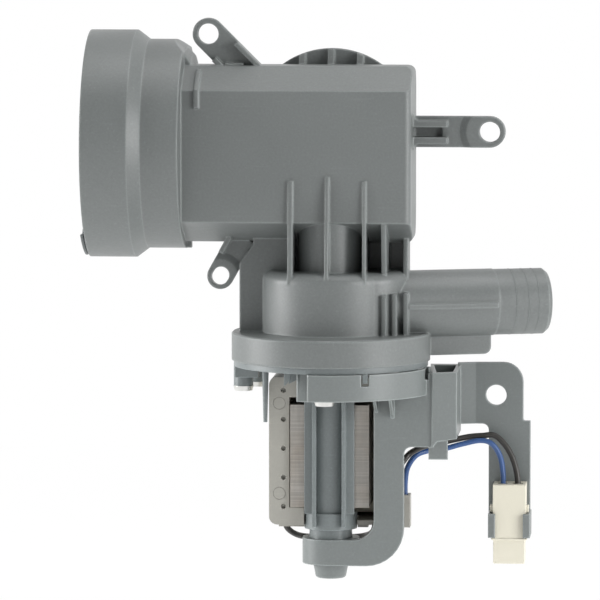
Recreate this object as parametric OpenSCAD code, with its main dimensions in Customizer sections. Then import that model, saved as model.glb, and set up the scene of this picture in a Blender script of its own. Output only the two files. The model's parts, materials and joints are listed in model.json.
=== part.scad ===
// Washer drain pump with a side filter chamber and a synchronous motor.
// The origin is on the pump's axis, in the joint between the housing and the rotor housing.
// X runs from the filter mouth to the outlet, Y runs to the back, Z is up.

/* [Filter collar] */
// Outer radius of the collar at its mouth
collar_r = 45.6; // [44:0.1:48]
// How much smaller the collar's radius is behind its step
collar_step = 3.7; // [3:0.1:4.5]
// Height of the collar's axis
collar_z = 85.5; // [84.5:0.5:87]
// Depth of the collar's axis behind the pump's axis
collar_y = 8; // [7:0.5:9]
// Distance of the mouth from the pump's axis
mouth_x = 96.9; // [94:0.5:110]
// Length of the wide part of the collar
collar_front_len = 18.6; // [16:0.1:20]
// Length of the cone between the two radii
collar_cone_len = 4.9; // [3:0.1:6]
// Distance of the collar's rear rim from the pump's axis
collar_rim_x = 58.4; // [56:0.1:60]

/* [Filter chamber] */
// Wall thickness of the housing
wall = 2.5; // [2:0.1:2.8]
// Distance of the end wall from the pump's axis
chamber_end_x = 33; // [32.6:0.1:40]
// Height of the chamber's middle
chamber_z = 82.2; // [81:0.1:83]
// Half height of the chamber at its widest
chamber_half_h = 35.4; // [35:0.1:36]
// Half height of the flat front face
face_half_h = 26.2; // [24:0.1:27]
// Distance of the front face in front of the axis
face_y = 20; // [19.7:0.1:21]
// Depth of the chamber's back behind the axis
chamber_back_y = 17; // [16.6:0.1:18]
// Radius of the chamber's rear edges
chamber_back_r = 10.5; // [8:0.5:11]
// Wall clearance round the filter basket
basket_gap = 1.5; // [1.2:0.1:1.6]

/* [Rear inlet] */
// Outer radius of the collar plate in front of the inlet spigot
disc_r = 34.1; // [33:0.1:35]
// Height of the inlet's axis
inlet_z = 89.6; // [88:0.1:91]
// Depth of the collar plate behind the pump's axis
disc_y = 12; // [11:0.5:14]
// Thickness of the collar plate
disc_t = 2.6; // [2:0.1:3]
// Outer radius of the inlet spigot
inlet_r = 28.6; // [26:0.1:29.5]
// Depth of the inlet spigot's end
inlet_end_y = 54; // [50:1:70]

/* [Suction neck and volute] */
// Radius of the suction neck's round ends
neck_r = 12.7; // [11:0.1:12.8]
// Outer radius of the volute
volute_r = 27.1; // [26:0.1:28]
// Height of the volute's top
volute_top_z = 36; // [35:0.1:37]
// Radius of the volute's rounded shoulder
shoulder_r = 4; // [2:0.5:5]
// Outer radius of the volute's flange
flange_r = 39.75; // [39.4:0.05:40]
// Height of the volute's flange
flange_h = 11.1; // [10:0.1:12]
// Thickness of the rib plates
rib_t = 2.1; // [1.8:0.1:2.6]

/* [Outlet] */
// Outer radius of the outlet spigot
outlet_r = 13.2; // [12.5:0.1:13.4]
// Bore radius of the outlet spigot
outlet_bore_r = 10.7; // [9.5:0.1:11]
// Height of the outlet's axis
outlet_z = 22.2; // [21.5:0.1:22.5]
// Angle of the outlet, turned to the back
outlet_angle = 18; // [14:1:20]
// Length of the outlet from the pump's axis
outlet_len = 89; // [78:1:110]

/* [Ears] */
// Radius of the upper and side ears' holes
ear_hole_r = 4.1; // [3.5:0.05:4.5]
// Radius of the lower ear's slotted hole
low_hole_r = 3.3; // [2.8:0.05:3.6]
// Width of plastic round an ear's hole
ear_rim = 2.2; // [1.8:0.1:3]
// Thickness of the ears and the web plates
plate_t = 3; // [2.4:0.1:4]
// Depth of the ears' stiffening ribs
ear_rib_d = 4; // [2:0.5:6]

/* [Filter] */
// Outer radius of the filter basket
basket_r = 21.5; // [20:0.5:22.5]
// Clearance between the filter basket and the chamber's end
basket_end_gap = 4.25; // [3:0.25:12]
// Height of the grip on the filter cap
grip_h = 11; // [8:0.5:11.5]

/* [Motor] */
// Thickness of the rotor housing's flange
cover_t = 2.3; // [2:0.1:3]
// Outer radius of the rotor can
can_r = 9.2; // [9:0.1:9.3]
// Wall thickness of the rotor can
can_wall = 0.9; // [0.8:0.05:1]
// Depth of the can's shoulder below the joint
can_base_z = 61.5; // [61:0.5:63]
// Half width of the stator core
core_half_w = 15.8; // [15:0.1:16]
// Height of the lamination stack
core_h = 41.2; // [36:0.2:41.6]
// Depth of the stack's top below the joint
core_top_z = 17.9; // [17.6:0.1:18.2]
// Distance of the stack's front in front of the axis
core_front_y = 7; // [6.6:0.1:7.2]
// Distance of the stack's back behind the axis
core_back_y = 35; // [34:0.5:36]
// Radius of the pump shaft
shaft_r = 2; // [1.8:0.1:2.2]
// Radius of the rotor magnet
magnet_r = 7.7; // [7:0.1:7.8]
// Outer radius of the impeller
impeller_r = 18; // [15:0.5:20]

/* [Coil cover] */
// Left side of the coil cover
cover_left_x = 24.5; // [24.2:0.1:25]
// Right side of the coil cover
cover_right_x = 25.2; // [24.9:0.1:26]
// Height of the coil cover
cover_h = 59.5; // [59:0.1:60]
// Depth of the coil cover's top below the joint
cover_top_z = 7; // [6.6:0.1:7.4]
// Wall of the coil cover
cover_wall = 1.8; // [1.5:0.1:2]

/* [Motor bracket] */
// Outer radius of the bracket's ring
ring_r = 40.4; // [40.2:0.1:41]
// Height of the bracket's ring
ring_h = 10.6; // [9:0.1:11]
// Inner side of the bracket's arm
arm_x = 18; // [17.6:0.1:18.4]
// Width of the bracket's arm
arm_w = 12; // [10:0.5:12]
// Thickness of the bracket's arm
arm_t = 3.2; // [2.5:0.1:3.3]
// Outer radius of the foot cup
cup_r = 11.4; // [11:0.1:12]
// Height of the foot cup
cup_h = 10.3; // [9:0.1:11]
// Depth of the cup's bottom below the joint
cup_bottom_z = 82.1; // [81.5:0.1:83]
// Height of the foot below the cup
foot_h = 6.1; // [4:0.1:8]
// Hole radius in the bracket's plate
plate_hole_r = 4.15; // [3.5:0.05:4.5]
// Thickness of the bracket's plate
bracket_t = 2.5; // [2:0.1:3]

/* [Wiring] */
// Diameter of the wires
wire_d = 2.4; // [2:0.1:2.6]
// Width of the connector
plug_w = 13.2; // [12.4:0.1:13.6]
// Depth of the connector
plug_d = 13; // [10:0.5:14]
// Height of the connector above its ledge
plug_h = 20.5; // [19:0.5:22]

/* [Hidden] */
$fn = 64;
eps = 0.01;
housing_grey = [0.45, 0.48, 0.48];
bracket_grey = [0.52, 0.55, 0.54];
can_grey = [0.38, 0.41, 0.41];
beige = [0.63, 0.61, 0.58];
steel = [0.75, 0.75, 0.74];

// A cylinder along X or Y that starts at a point
module along_x(p, r, len, r2 = -1) {
    translate(p) rotate([0, 90, 0]) cylinder(r1 = r, r2 = r2 < 0 ? r : r2, h = len);
}
module along_y(p, r, len, r2 = -1) {
    translate(p) rotate([-90, 0, 0]) cylinder(r1 = r, r2 = r2 < 0 ? r : r2, h = len);
}
// A plate drawn in X and Z, from one depth to another
module plate_xz(y0, y1) {
    translate([0, y1, 0]) rotate([90, 0, 0]) linear_extrude(y1 - y0) children();
}
// A plate drawn in Y and Z, centred on x
module plate_yz(x, t) {
    translate([x - t / 2, 0, 0]) rotate([90, 0, 90]) linear_extrude(t) children();
}
// A box from its low and high corners
module block(low, high) {
    translate(low) cube([high[0] - low[0], high[1] - low[1], high[2] - low[2]]);
}
function arc(c, r, a0, a1, n) = [for (i = [0:n]) let (a = a0 + (a1 - a0) * i / n)
    [c[0] + r * cos(a), c[1] + r * sin(a)]];

// Housing sizes that follow from the values above
collar_back_r = collar_r - collar_step;
collar_step_x = -mouth_x + collar_front_len;
collar_back_x = collar_step_x + collar_cone_len;
collar_bore_r = collar_r - 3.3;
collar_back_bore_r = collar_back_r - 3.1;
rim_cone_len = 2.7;
seat_x = collar_step_x + 1;
chamber_top = chamber_z + chamber_half_h;
neck_y = face_y - neck_r - 0.4;
neck_back_y = chamber_back_y - neck_r - 0.3;
bulge_end_x = chamber_end_x - 3.5;
neck_bore_r = neck_r - wall;
eye_r = 10;
register_r = flange_r - 9.75;
recess_top = 5;
volute_ceiling = volute_top_z - wall;
scroll_x = 11;
scroll_r = volute_r - 6;
scroll_turn = asin((volute_r - scroll_r) / scroll_x);
scroll_wall = scroll_x * cos(scroll_turn);
outlet_start_y = -8.4;
outlet_step = 0.2;
outlet_chamfer = 1.5;
hose_seat_x = outlet_len - 22;
spigot_rib_len = 38;
gusset_x = [36, hose_seat_x - 0.6];
gusset_r = 3;
gusset_t = 3;
gusset_lift = 1.4;
ear_r = ear_hole_r + ear_rim;
ear_top = [-49, 130];
ear_side = [63.5, 91.4];
ear_low = [-44.2, 33.2];
ear_low_r = low_hole_r + ear_rim - 0.25;
pad_h = 1.5;
low_slot = 1.1;
screw_r = 1.9;
screw_spots = [[0, -34.4], [-34.8, -4], [-30.8, 14], [30, 17]];
far = 300;
inlet_x = -0.5;
inlet_step = 0.5;
inlet_cut_y = collar_y + basket_r + basket_gap + wall + 0.5;
inlet_seat_y = inlet_cut_y + 0.5;
top_flat_y = plate_t / 2 + ear_rib_d + 0.5;
web_left_x = -36.4;
web_lead = plate_t - 0.6;

// The chamber's outline in Y and Z, drawn smaller by an inset
module chamber_outline(inset) {
    side = chamber_half_h - inset;
    face = face_half_h - inset * 0.65;
    r = chamber_back_r - inset;
    back = chamber_back_y - inset;
    polygon(concat([[-face_y + inset, -face], [0, -side]],
        arc([back - r, -side + r], r, -90, 0, 6), arc([back - r, side - r], r, 0, 90, 6),
        [[-top_flat_y, side], [-face_y + inset, face]]));
}
// Height of the slope between the front face and the flat top, over the chamber's middle
function slope_z(y) = face_half_h
    + (chamber_half_h - face_half_h) * (y + face_y) / (face_y - top_flat_y);
module chamber_body(x0, x1, inset) {
    translate([x0, 0, chamber_z]) rotate([90, 0, 90]) linear_extrude(x1 - x0)
        chamber_outline(inset);
}
// The chamber's right end, rounded at the front and at the top and bottom
module end_rounding(x1, r) {
    translate([0, 0, -10]) linear_extrude(200) polygon(concat([[-90, -face_y - 5]],
        [[x1 - r, -face_y - 5]], arc([x1 - r, -face_y + r], r, -90, 0, 6), [[x1, 60], [-90, 60]]));
}
module end_rounding_xz(x1, r) {
    low = chamber_z - chamber_half_h;
    plate_xz(-60, 60) polygon(concat([[-90, low]], arc([x1 - r, low + r], r, -90, 0, 6),
        arc([x1 - r, chamber_top - r], r, 0, 90, 6), [[-90, chamber_top]]));
}
module neck_shape(r, z0, z1) {
    for (y = [-neck_y, neck_back_y]) translate([0, y, z0]) cylinder(r = r, h = z1 - z0);
    block([-r, -neck_y, z0], [r, neck_back_y, z1]);
}
module in_outlet_frame() {
    translate([0, outlet_start_y, outlet_z]) rotate([0, 0, outlet_angle]) children();
}
module collar_outside() {
    axis = [0, collar_y, collar_z];
    along_x([-mouth_x, collar_y, collar_z], collar_r, collar_front_len);
    along_x([collar_step_x, collar_y, collar_z], collar_r, collar_cone_len, collar_back_r);
    difference() {
        along_x([collar_back_x, collar_y, collar_z], collar_back_r,
            -collar_rim_x - collar_back_x);
        // The flat that leads the rim down to the chamber at the top
        translate([-collar_rim_x - 4.5, 0, collar_z + collar_back_r]) rotate([0, 43, 0])
            translate([-10, -40, 0]) cube([30, 90, 20]);
    }
    intersection() {
        along_x([-collar_rim_x, collar_y, collar_z], collar_back_r - 3, rim_cone_len,
            collar_back_r - 6);
        block([-far, -top_flat_y, 0], [far, far, far]);
    }
    // Drip lug under the rim
    block([-collar_rim_x - 1, collar_y - 4, collar_z - collar_back_r + 0.3],
        [-collar_rim_x + 2, collar_y, collar_z - collar_back_r + 4]);
}
module inlet_outside() {
    along_y([inlet_x, disc_y, inlet_z], disc_r, disc_t);
    along_y([inlet_x, disc_y, inlet_z], inlet_r + inlet_step, inlet_seat_y - disc_y);
    along_y([inlet_x, disc_y, inlet_z], inlet_r, inlet_end_y - disc_y);
    // Three ribs that lean against the collar plate above the chamber
    intersection() {
        along_y([inlet_x, 0, inlet_z], disc_r - 0.1, disc_y + 1);
        union() {
            for (x = [-12.2, -0.7, 11]) plate_yz(x, 2.6) polygon([[7, chamber_top - 2],
                [disc_y + 1, chamber_top - 2], [disc_y + 1, chamber_top + 8],
                [disc_y - 0.5, chamber_top + 8]]);
        }
    }
}
// Half section of the volute, with its rounded shoulder
module volute_section(r) {
    polygon(concat([[0, flange_h - 1], [r, flange_h - 1]],
        arc([r - shoulder_r, volute_top_z - shoulder_r], shoulder_r, 0, 90, 6),
        [[0, volute_top_z]]));
}
module volute_outside() {
    rotate_extrude() volute_section(volute_r);
    // The scroll towards the outlet, and the flat walls that lead to it
    translate([scroll_x, 0, 0]) rotate_extrude() volute_section(scroll_r);
    for (side = [0, 1]) mirror([0, side, 0]) rotate([0, 0, scroll_turn]) mirror([0, 1, 0])
        plate_yz(scroll_wall / 2, scroll_wall) volute_section(volute_r);
    rotate_extrude() polygon([[0, 0], [flange_r, 0], [flange_r, flange_h - 0.6],
        [flange_r - 0.6, flange_h], [0, flange_h]]);
}
// Rib plates between the chamber's face and the volute: place, foot depth, thickness, top
module long_rib(x, foot_y, t, top_z) {
    plate_yz(x, t) polygon([[-face_y - 0.8, top_z], [foot_y, volute_top_z - shoulder_r - 0.2],
        [0, volute_top_z - shoulder_r - 0.2], [0, chamber_z - chamber_half_h + 1],
        [-face_y + wall / 2, chamber_z - face_half_h + 1], [-face_y + wall / 2, top_z]]);
}
module housing_ribs() {
    low = chamber_z - chamber_half_h;
    foot_side = -sqrt(volute_r * volute_r - 14.7 * 14.7);
    long_rib(-14.7, foot_side, rib_t, 72.8);
    long_rib(0, -volute_r + 0.1, rib_t - 0.5, 74.4);
    long_rib(14.7, foot_side, rib_t - 0.6, 72.8);
    plate_yz(22.3, 2) polygon([[-face_y + 0.4, chamber_z - face_half_h + 0.6], [-15.4, 33.5],
        [6, 33.5], [6, low + 3], [-10, low + 7]]);
    plate_yz(30.3, 1.9) polygon([[-5, low + 3], [-7.5, volute_top_z - 3], [6, volute_top_z - 3],
        [6, low + 3]]);
    // Web plates on both sides of the neck, the right one set back
    plate_xz(-plate_t / 2 - web_lead, plate_t / 2 - web_lead) polygon([[web_left_x, flange_h - 1],
        [15, flange_h - 1],
        [15, low + 2], [web_left_x + 5.6, low + 2], [web_left_x + 5.6, ear_low[1] + 13],
        [web_left_x, ear_low[1] + 5.3]]);
    block([13.6, 5, volute_ceiling + 1], [31.2, 7.5, low + 3]);
    // Short fins on the volute's right front: place, thickness, top, front depth
    for (f = [[22.5, 1.9, 27.4, -20], [26.5, 1.9, 27.8, -17.5], [30.9, 2, 28.1, -14.5]])
        block([f[0] - f[1] / 2, f[3], flange_h - 1], [f[0] + f[1] / 2, 0, f[2]]);
    // Locating rib on the chamber near the collar
    plate_yz(-52.1, 2) polygon([[-face_y - 1.2, chamber_z + 19.5], [-face_y + 1, chamber_z + 18.5],
        [-face_y + 1, chamber_z + face_half_h - 1], [-9.7, chamber_z + slope_z(-9.7) - 1],
        [-9.7, chamber_z + slope_z(-9.7) + 1.3], [-face_y - 1.2, chamber_z + face_half_h + 0.5]]);
}
// An ear: place, arm length, arm angle, rim radius
module ear(spot, len, angle, rim) {
    translate([spot[0], 0, spot[1]]) rotate([0, -angle, 0]) {
        along_y([0, -plate_t / 2, 0], rim, plate_t);
        block([0, -plate_t / 2, -rim], [len, plate_t / 2, rim]);
    }
}
// The raised pad round an ear's hole, with a cone that leads up to it
module ear_pad(spot, angle, rim, r_foot, r_top) {
    translate([spot[0], 0, spot[1]]) rotate([0, -angle, 0]) intersection() {
        along_y([0, -plate_t / 2 - pad_h, 0], r_top, pad_h + eps, r_foot);
        union() {
            along_y([0, -plate_t, 0], rim, plate_t);
            block([0, -plate_t, -rim], [r_foot, 0, rim]);
        }
    }
}
module ear_rib(spot, angle, s0, s1, v0, v1) {
    translate([spot[0], 0, spot[1]]) rotate([0, -angle, 0])
        block([s0, -plate_t / 2 - ear_rib_d, v0], [s1, 0, v1]);
}
module ears() {
    ear(ear_top, 25.5, -45, ear_r);
    ear_rib(ear_top, -45, 10.5, 25.5, ear_r - 1.8, ear_r);
    ear_rib(ear_top, -45, 8.8, 16, -ear_r, -ear_r + 2.2);
    block([-42.3, -plate_t / 2 - 2.4, chamber_top - 1], [-34.7, 0, chamber_top + 1]);
    ear(ear_side, 32, 180, ear_r - 0.1);
    ear_pad(ear_side, 180, ear_r - 0.1, 12.2, 9.2);
    ear_rib(ear_side, 180, 16.8, 32, 2, 4.7);
    ear_rib(ear_side, 180, 16.8, 32, -4.6, -2);
    for (s = [-1, 1]) translate([chamber_end_x - 0.5, 0, ear_side[1]])
        plate_xz(-plate_t / 2 - ear_rib_d, 0) polygon([[0, s * 3], [0, s * 7.2], [0.7, s * 7.2],
            [1.3, s * 5.4], [3, s * 4.3], [3, s * 3]]);
    ear(ear_low, 18, 61, ear_low_r);
    ear_pad(ear_low, 61, ear_low_r, 9.5, 6.7);
    ear_rib(ear_low, 61, 8.5, 16, ear_low_r - 2.1, ear_low_r);
}
module housing_solid() {
    intersection() {
        chamber_body(-collar_rim_x - 2, chamber_end_x, 0);
        end_rounding(chamber_end_x, 2.6);
        end_rounding_xz(chamber_end_x, 3);
    }
    // Round back of the chamber, where the filter basket lies
    along_x([-collar_rim_x - 2, collar_y, collar_z], basket_r + basket_gap + wall,
        bulge_end_x + collar_rim_x + 2);
    collar_outside();
    inlet_outside();
    neck_shape(neck_r, volute_top_z - 1, chamber_z - 20);
    volute_outside();
    housing_ribs();
    ears();
    in_outlet_frame() {
        along_x([18, 0, 0], outlet_r + outlet_step, hose_seat_x - 18);
        along_x([hose_seat_x - 1, 0, 0], outlet_r, outlet_len - outlet_chamfer - hose_seat_x + 1);
        along_x([outlet_len - outlet_chamfer, 0, 0], outlet_r, outlet_chamfer, outlet_r - 1.2);
        block([hose_seat_x - spigot_rib_len, -outlet_r - 1.6, -0.95], [hose_seat_x - 1, 0, 0.95]);
        plate_xz(-gusset_t / 2, gusset_t / 2) polygon(concat(
            [[gusset_x[0], -outlet_r + 2], [gusset_x[0], -outlet_z + gusset_lift]],
            arc([gusset_x[1] - gusset_r, -outlet_z + gusset_lift + gusset_r], gusset_r, -90, 0, 5),
            [[gusset_x[1], -outlet_r + 2]]));
    }
}
module housing_whole() {
    difference() {
        housing_solid();
        // Collar bore, its seat and the chamber's hollow
        along_x([-mouth_x - 1, collar_y, collar_z], collar_bore_r, seat_x + mouth_x + 1);
        along_x([-mouth_x + 5, collar_y, collar_z], collar_back_bore_r,
            -collar_rim_x - wall + mouth_x - 5);
        chamber_body(-collar_rim_x - wall - 1, chamber_end_x - wall, wall);
        along_x([-collar_rim_x - wall - 1, collar_y, collar_z], basket_r + basket_gap,
            bulge_end_x + collar_rim_x + 1);
        // Inlet
        along_y([inlet_x, disc_y + 1.5, inlet_z], inlet_r - 2.8, inlet_end_y);
        // Suction neck and eye
        neck_shape(neck_bore_r, volute_top_z, chamber_z - 25);
        translate([0, 0, volute_ceiling - 1]) cylinder(r = eye_r, h = wall + 2);
        // Volute and the recess for the rotor housing
        for (c = [[0, volute_r], [scroll_x, scroll_r]]) translate([c[0], 0, -1])
            cylinder(r = c[1] - wall, h = volute_ceiling + 1);
        translate([0, 0, -1]) cylinder(r = register_r, h = recess_top + 1);
        in_outlet_frame() along_x([8, 0, 0], outlet_bore_r, outlet_len);
        // Screw holes
        for (s = screw_spots) translate([s[0], s[1], -1]) cylinder(r = screw_r, h = 9.5);
        // Ear holes
        for (e = [ear_top, ear_side]) along_y([e[0], -plate_t - 1, e[1]], ear_hole_r, 3 * plate_t);
        // The side ear is thin between its ribs
        block([chamber_end_x + 0.6, -plate_t / 2 - 0.1, ear_side[1] - 2],
            [ear_side[0] - 19, plate_t / 2 - 1, ear_side[1] + 2]);
        translate([ear_low[0], 0, ear_low[1]]) rotate([0, -57, 0]) {
            for (s = [-0.5, 0.5]) along_y([s * low_slot, -plate_t - 1, 0], low_hole_r, 2 * plate_t);
            block([-low_slot / 2, -plate_t - 1, -low_hole_r], [low_slot / 2, plate_t, low_hole_r]);
        }
    }
}
// The one moulding is kept as pieces that meet face to face, one round each hollow
collar_cut_x = -collar_rim_x + rim_cone_len + 0.1;
neck_cut_z = chamber_z - chamber_half_h - 0.8;
chamber_cut_y = collar_y + 1;
outlet_cut = flange_r + 3.25;
module housing_part(low, high) {
    color(housing_grey) intersection() {
        housing_whole();
        block(low, high);
    }
}
module beyond_outlet_cut() {
    in_outlet_frame() block([outlet_cut, -far, -far], [far, far, neck_cut_z - outlet_z]);
}
module pump_housing() {
    color(housing_grey) difference() {
        housing_part([collar_cut_x, -far, -far], [far, far, neck_cut_z]);
        beyond_outlet_cut();
    }
}
module outlet_spigot() {
    color(housing_grey) intersection() {
        housing_whole();
        beyond_outlet_cut();
    }
}
module chamber_front() {
    housing_part([collar_cut_x, -far, neck_cut_z], [far, chamber_cut_y, far]);
}
module chamber_rear() {
    housing_part([collar_cut_x, chamber_cut_y, neck_cut_z], [far, inlet_cut_y, far]);
}
module filter_collar() {
    housing_part([-far, -far, -far], [collar_cut_x, far, far]);
}
module inlet_spigot() {
    housing_part([collar_cut_x, inlet_cut_y, neck_cut_z], [far, far, far]);
}

// Filter: a screwed cap with a grip bar, its ring and the basket behind it
cap_gap = 0.3;
cap_x = -mouth_x + 2;
cap_plug_r = collar_bore_r - cap_gap;
cap_t = seat_x - cap_x - 3.4;
seal_wire = 1.5;
seal_x = seat_x - seal_wire - 0.15;
basket_x = seal_x + 1.7;
basket_len = bulge_end_x - wall - basket_end_gap - basket_x;
lug_low = collar_bore_r - 6.8;
module filter_cap() {
    color([0.3, 0.32, 0.32]) {
        difference() {
            along_x([cap_x, collar_y, collar_z], cap_plug_r, cap_t);
            along_x([cap_x - 1, collar_y, collar_z], cap_plug_r - 3, cap_t - 2);
        }
        // Grip bar across the cap, and the lug that reaches past the mouth
        block([cap_x, collar_y - cap_plug_r + 2, collar_z - 3], [cap_x + cap_t - 1,
            collar_y + cap_plug_r - 2, collar_z + 3]);
        block([cap_x + cap_t - grip_h - 1, collar_y - 14, collar_z - 5],
            [cap_x + cap_t - 1, collar_y + 14, collar_z + 5]);
        difference() {
            along_x([-mouth_x - 1.6, collar_y, collar_z], collar_r - 0.2, 1.3);
            along_x([-mouth_x - 3, collar_y, collar_z], collar_r - 6.5, 4);
            block([-mouth_x - 4, -60, collar_z - lug_low + 1], [-mouth_x + 4, 90, collar_z + 60]);
            block([-mouth_x - 4, collar_y - 10, 0], [-mouth_x + 4, 90, collar_z]);
        }
        block([-mouth_x - 1.6, collar_y - 21, collar_z - lug_low], [cap_x + 4, collar_y - 14,
            collar_z - lug_low + 2.5]);
        // Neck that carries the ring and the basket
        along_x([cap_x + cap_t - eps, collar_y, collar_z], collar_back_bore_r - 2.6,
            basket_x - cap_x - cap_t + eps);
    }
}
module filter_seal() {
    color([0.1, 0.1, 0.1]) translate([seal_x, collar_y, collar_z]) rotate([0, 90, 0])
        rotate_extrude() translate([collar_back_bore_r - 1.05 + 0.15, 0]) circle(r = seal_wire, $fn = 24);
}
module filter_basket() {
    tube_x = basket_x;
    color([0.3, 0.32, 0.32]) difference() {
        union() {
            along_x([tube_x, collar_y, collar_z], basket_r + 6, 3);
            along_x([tube_x, collar_y, collar_z], basket_r, basket_len);
        }
        along_x([tube_x + 5, collar_y, collar_z], basket_r - 1.8, basket_len - 7);
        // Slots round the basket and the window that faces the inlet
        for (i = [0:floor((basket_len - 25) / 15)]) for (a = [-120:30:120])
            translate([tube_x + 9 + i * 15, collar_y, collar_z]) rotate([a, 0, 0])
                block([0, -basket_r - 1, -2], [11, -basket_r + 4, 2]);
        block([tube_x + 30, collar_y + 6, collar_z - 15], [tube_x + basket_len - 12,
            collar_y + basket_r + 2, collar_z + 15]);
    }
}

// Seals, bearings and the turning parts
module ring(r_mid, wire_r) {
    rotate_extrude() translate([r_mid, 0]) circle(r = wire_r, $fn = 24);
}
seal_z = (recess_top + 1.8) / 2;
carrier_r = can_r - can_wall - 0.2;
shaft_gap = 0.04;
rear_bearing_z = -can_base_z - 4.6;
rotor_top_z = -10;
module volute_seal() {
    color([0.1, 0.1, 0.1]) translate([0, 0, seal_z])
        ring(register_r - 2, (recess_top - 1.8) / 2 - 0.1);
}
module bearing_carrier() {
    color([0.2, 0.22, 0.22]) difference() {
        union() {
            translate([0, 0, rotor_top_z + 1.5]) cylinder(r = carrier_r, h = 1.8 - rotor_top_z - 1.5);
            translate([0, 0, 1.8]) cylinder(r = carrier_r + 3, h = 1.6);
        }
        translate([0, 0, rotor_top_z]) cylinder(r = shaft_r + 1, h = 20);
        translate([0, 0, rotor_top_z + 1]) cylinder(r = 4.6, h = 6.5);
        translate([0, 0, -1.5]) cylinder(r = 5.6, h = 6);
    }
}
module front_bearing() {
    color([0.55, 0.42, 0.25]) translate([0, 0, rotor_top_z + 1.5]) difference() {
        cylinder(r = 4.6 - 0.02, h = 6);
        translate([0, 0, -1]) cylinder(r = shaft_r + shaft_gap, h = 8);
    }
}
module shaft_seal() {
    color([0.08, 0.08, 0.08]) translate([0, 0, -1.4]) difference() {
        cylinder(r = 5.5, h = 4.6);
        translate([0, 0, -1]) cylinder(r = shaft_r + shaft_gap, h = 8);
    }
}
module rear_bearing() {
    color([0.55, 0.42, 0.25]) translate([0, 0, rear_bearing_z]) difference() {
        cylinder(r = 4.5, h = 5);
        translate([0, 0, -1]) cylinder(r = shaft_r + shaft_gap, h = 8);
    }
}
module thrust_washer() {
    color(steel) translate([0, 0, rear_bearing_z + 5.2]) difference() {
        cylinder(r = 3.6, h = 0.8);
        translate([0, 0, -1]) cylinder(r = shaft_r, h = 3);
    }
}
shaft_low_z = rear_bearing_z - 0.5;
impeller_z = 6;
impeller_h = 20;
magnet_low_z = rear_bearing_z + 8;
magnet_top_z = rotor_top_z - 2.5;
module rotor_shaft() {
    color(steel) translate([0, 0, shaft_low_z])
        cylinder(r = shaft_r, h = impeller_z + impeller_h - 6 - shaft_low_z);
}
module rotor_sleeve() {
    color([0.85, 0.83, 0.78]) difference() {
        union() {
            translate([0, 0, magnet_low_z - 1.5]) cylinder(r = magnet_r - 0.5, h = 1.5);
            translate([0, 0, magnet_low_z - 1.5])
                cylinder(r = 3.4, h = magnet_top_z - magnet_low_z + 3);
            translate([0, 0, magnet_top_z]) cylinder(r = magnet_r - 0.5, h = 1.5);
        }
        translate([0, 0, -200]) cylinder(r = shaft_r, h = 300);
    }
}
module rotor_magnet() {
    color([0.18, 0.18, 0.19]) translate([0, 0, magnet_low_z]) difference() {
        cylinder(r = magnet_r, h = magnet_top_z - magnet_low_z);
        translate([0, 0, -1]) cylinder(r = 3.4, h = 100);
    }
}
module impeller() {
    color([0.2, 0.2, 0.21]) difference() {
        union() {
            translate([0, 0, impeller_z]) cylinder(r = impeller_r, h = 2);
            translate([0, 0, impeller_z]) cylinder(r = 5.5, h = impeller_h - 2);
            for (i = [0:3]) rotate([0, 0, i * 90]) block([3, -1, impeller_z],
                [impeller_r - 0.5, 1, impeller_z + impeller_h - 4]);
        }
        translate([0, 0, impeller_z - 1]) cylinder(r = shaft_r, h = impeller_h - 5);
    }
}

// Rotor housing: flange and can in one moulding
tail_r = cup_r - 2.8;
tail_z = cup_bottom_z - 2.6;
can_bore_r = can_r - can_wall;
fin_x = 5.2;
fin_w = 1.45;
wing_x = 10;
wing_back_y = -core_front_y - 0.6;
module rotor_housing() {
    color(can_grey) difference() {
        union() {
            translate([0, 0, -cover_t]) cylinder(r = flange_r - 0.85, h = cover_t);
            translate([0, 0, -eps]) cylinder(r = register_r - 0.3, h = 1.8 + eps);
            translate([0, 0, -can_base_z - 0.5]) cylinder(r = can_r, h = can_base_z);
            translate([0, 0, -can_base_z - 6.6]) cylinder(r = can_r + 1.4, h = 6.6);
            translate([0, 0, -tail_z]) cylinder(r = tail_r, h = tail_z - can_base_z);
            for (s = [-1, 1]) {
                block([s > 0 ? fin_x : -fin_x - fin_w, -12.2, -can_base_z - 5],
                    [s > 0 ? fin_x + fin_w : -fin_x, wing_back_y, -cover_t + eps]);
                block([s > 0 ? fin_x : -wing_x, wing_back_y - 1.6, -can_base_z],
                    [s > 0 ? wing_x : -fin_x, wing_back_y, -cover_t + eps]);
            }
            // Screw bosses, locating pin, tooth and hook under the flange
            translate([screw_spots[1][0], screw_spots[1][1], -10.5]) cylinder(r = 3.9, h = 9);
            for (i = [2, 3]) translate([screw_spots[i][0], screw_spots[i][1], -10.7])
                cylinder(r = 4, h = 9);
            plate_xz(-26, -24) polygon([[-14.9, -2], [-14.9, -7.6], [-8, -4], [-8, -2]]);
            translate([-25.5, -10, -24.6]) cylinder(r1 = 0.8, r2 = 1.4, h = 22.5);
            block([-37.8, -8.6, -6.9], [-28.6, -2, -2]);
            plate_xz(-32.4, -30.4) polygon([[-16.2, -cover_t + eps], [-16.2, -7.4], [-15.6, -7.4],
                [-13.8, -5], [-13.8, -cover_t + eps]]);
            block([15.2, -36.8, -5.9], [17.2, -34, -cover_t + eps]);
        }
        translate([0, 0, rear_bearing_z + 5]) cylinder(r = can_bore_r, h = 100);
        translate([0, 0, rear_bearing_z]) cylinder(r = 4.52, h = 6);
        translate([0, 0, -tail_z + 1.2]) cylinder(r = 3.2, h = 20);
        for (s = screw_spots) translate([s[0], s[1], -20]) cylinder(r = screw_r, h = 30);
        // Pockets between the small ribs of the tail
        for (a = [0:45:315]) rotate([0, 0, a + 22.5]) translate([tail_r - 1, -2.2, -tail_z + 1])
            cube([3, 4.4, 6]);
    }
}

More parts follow.
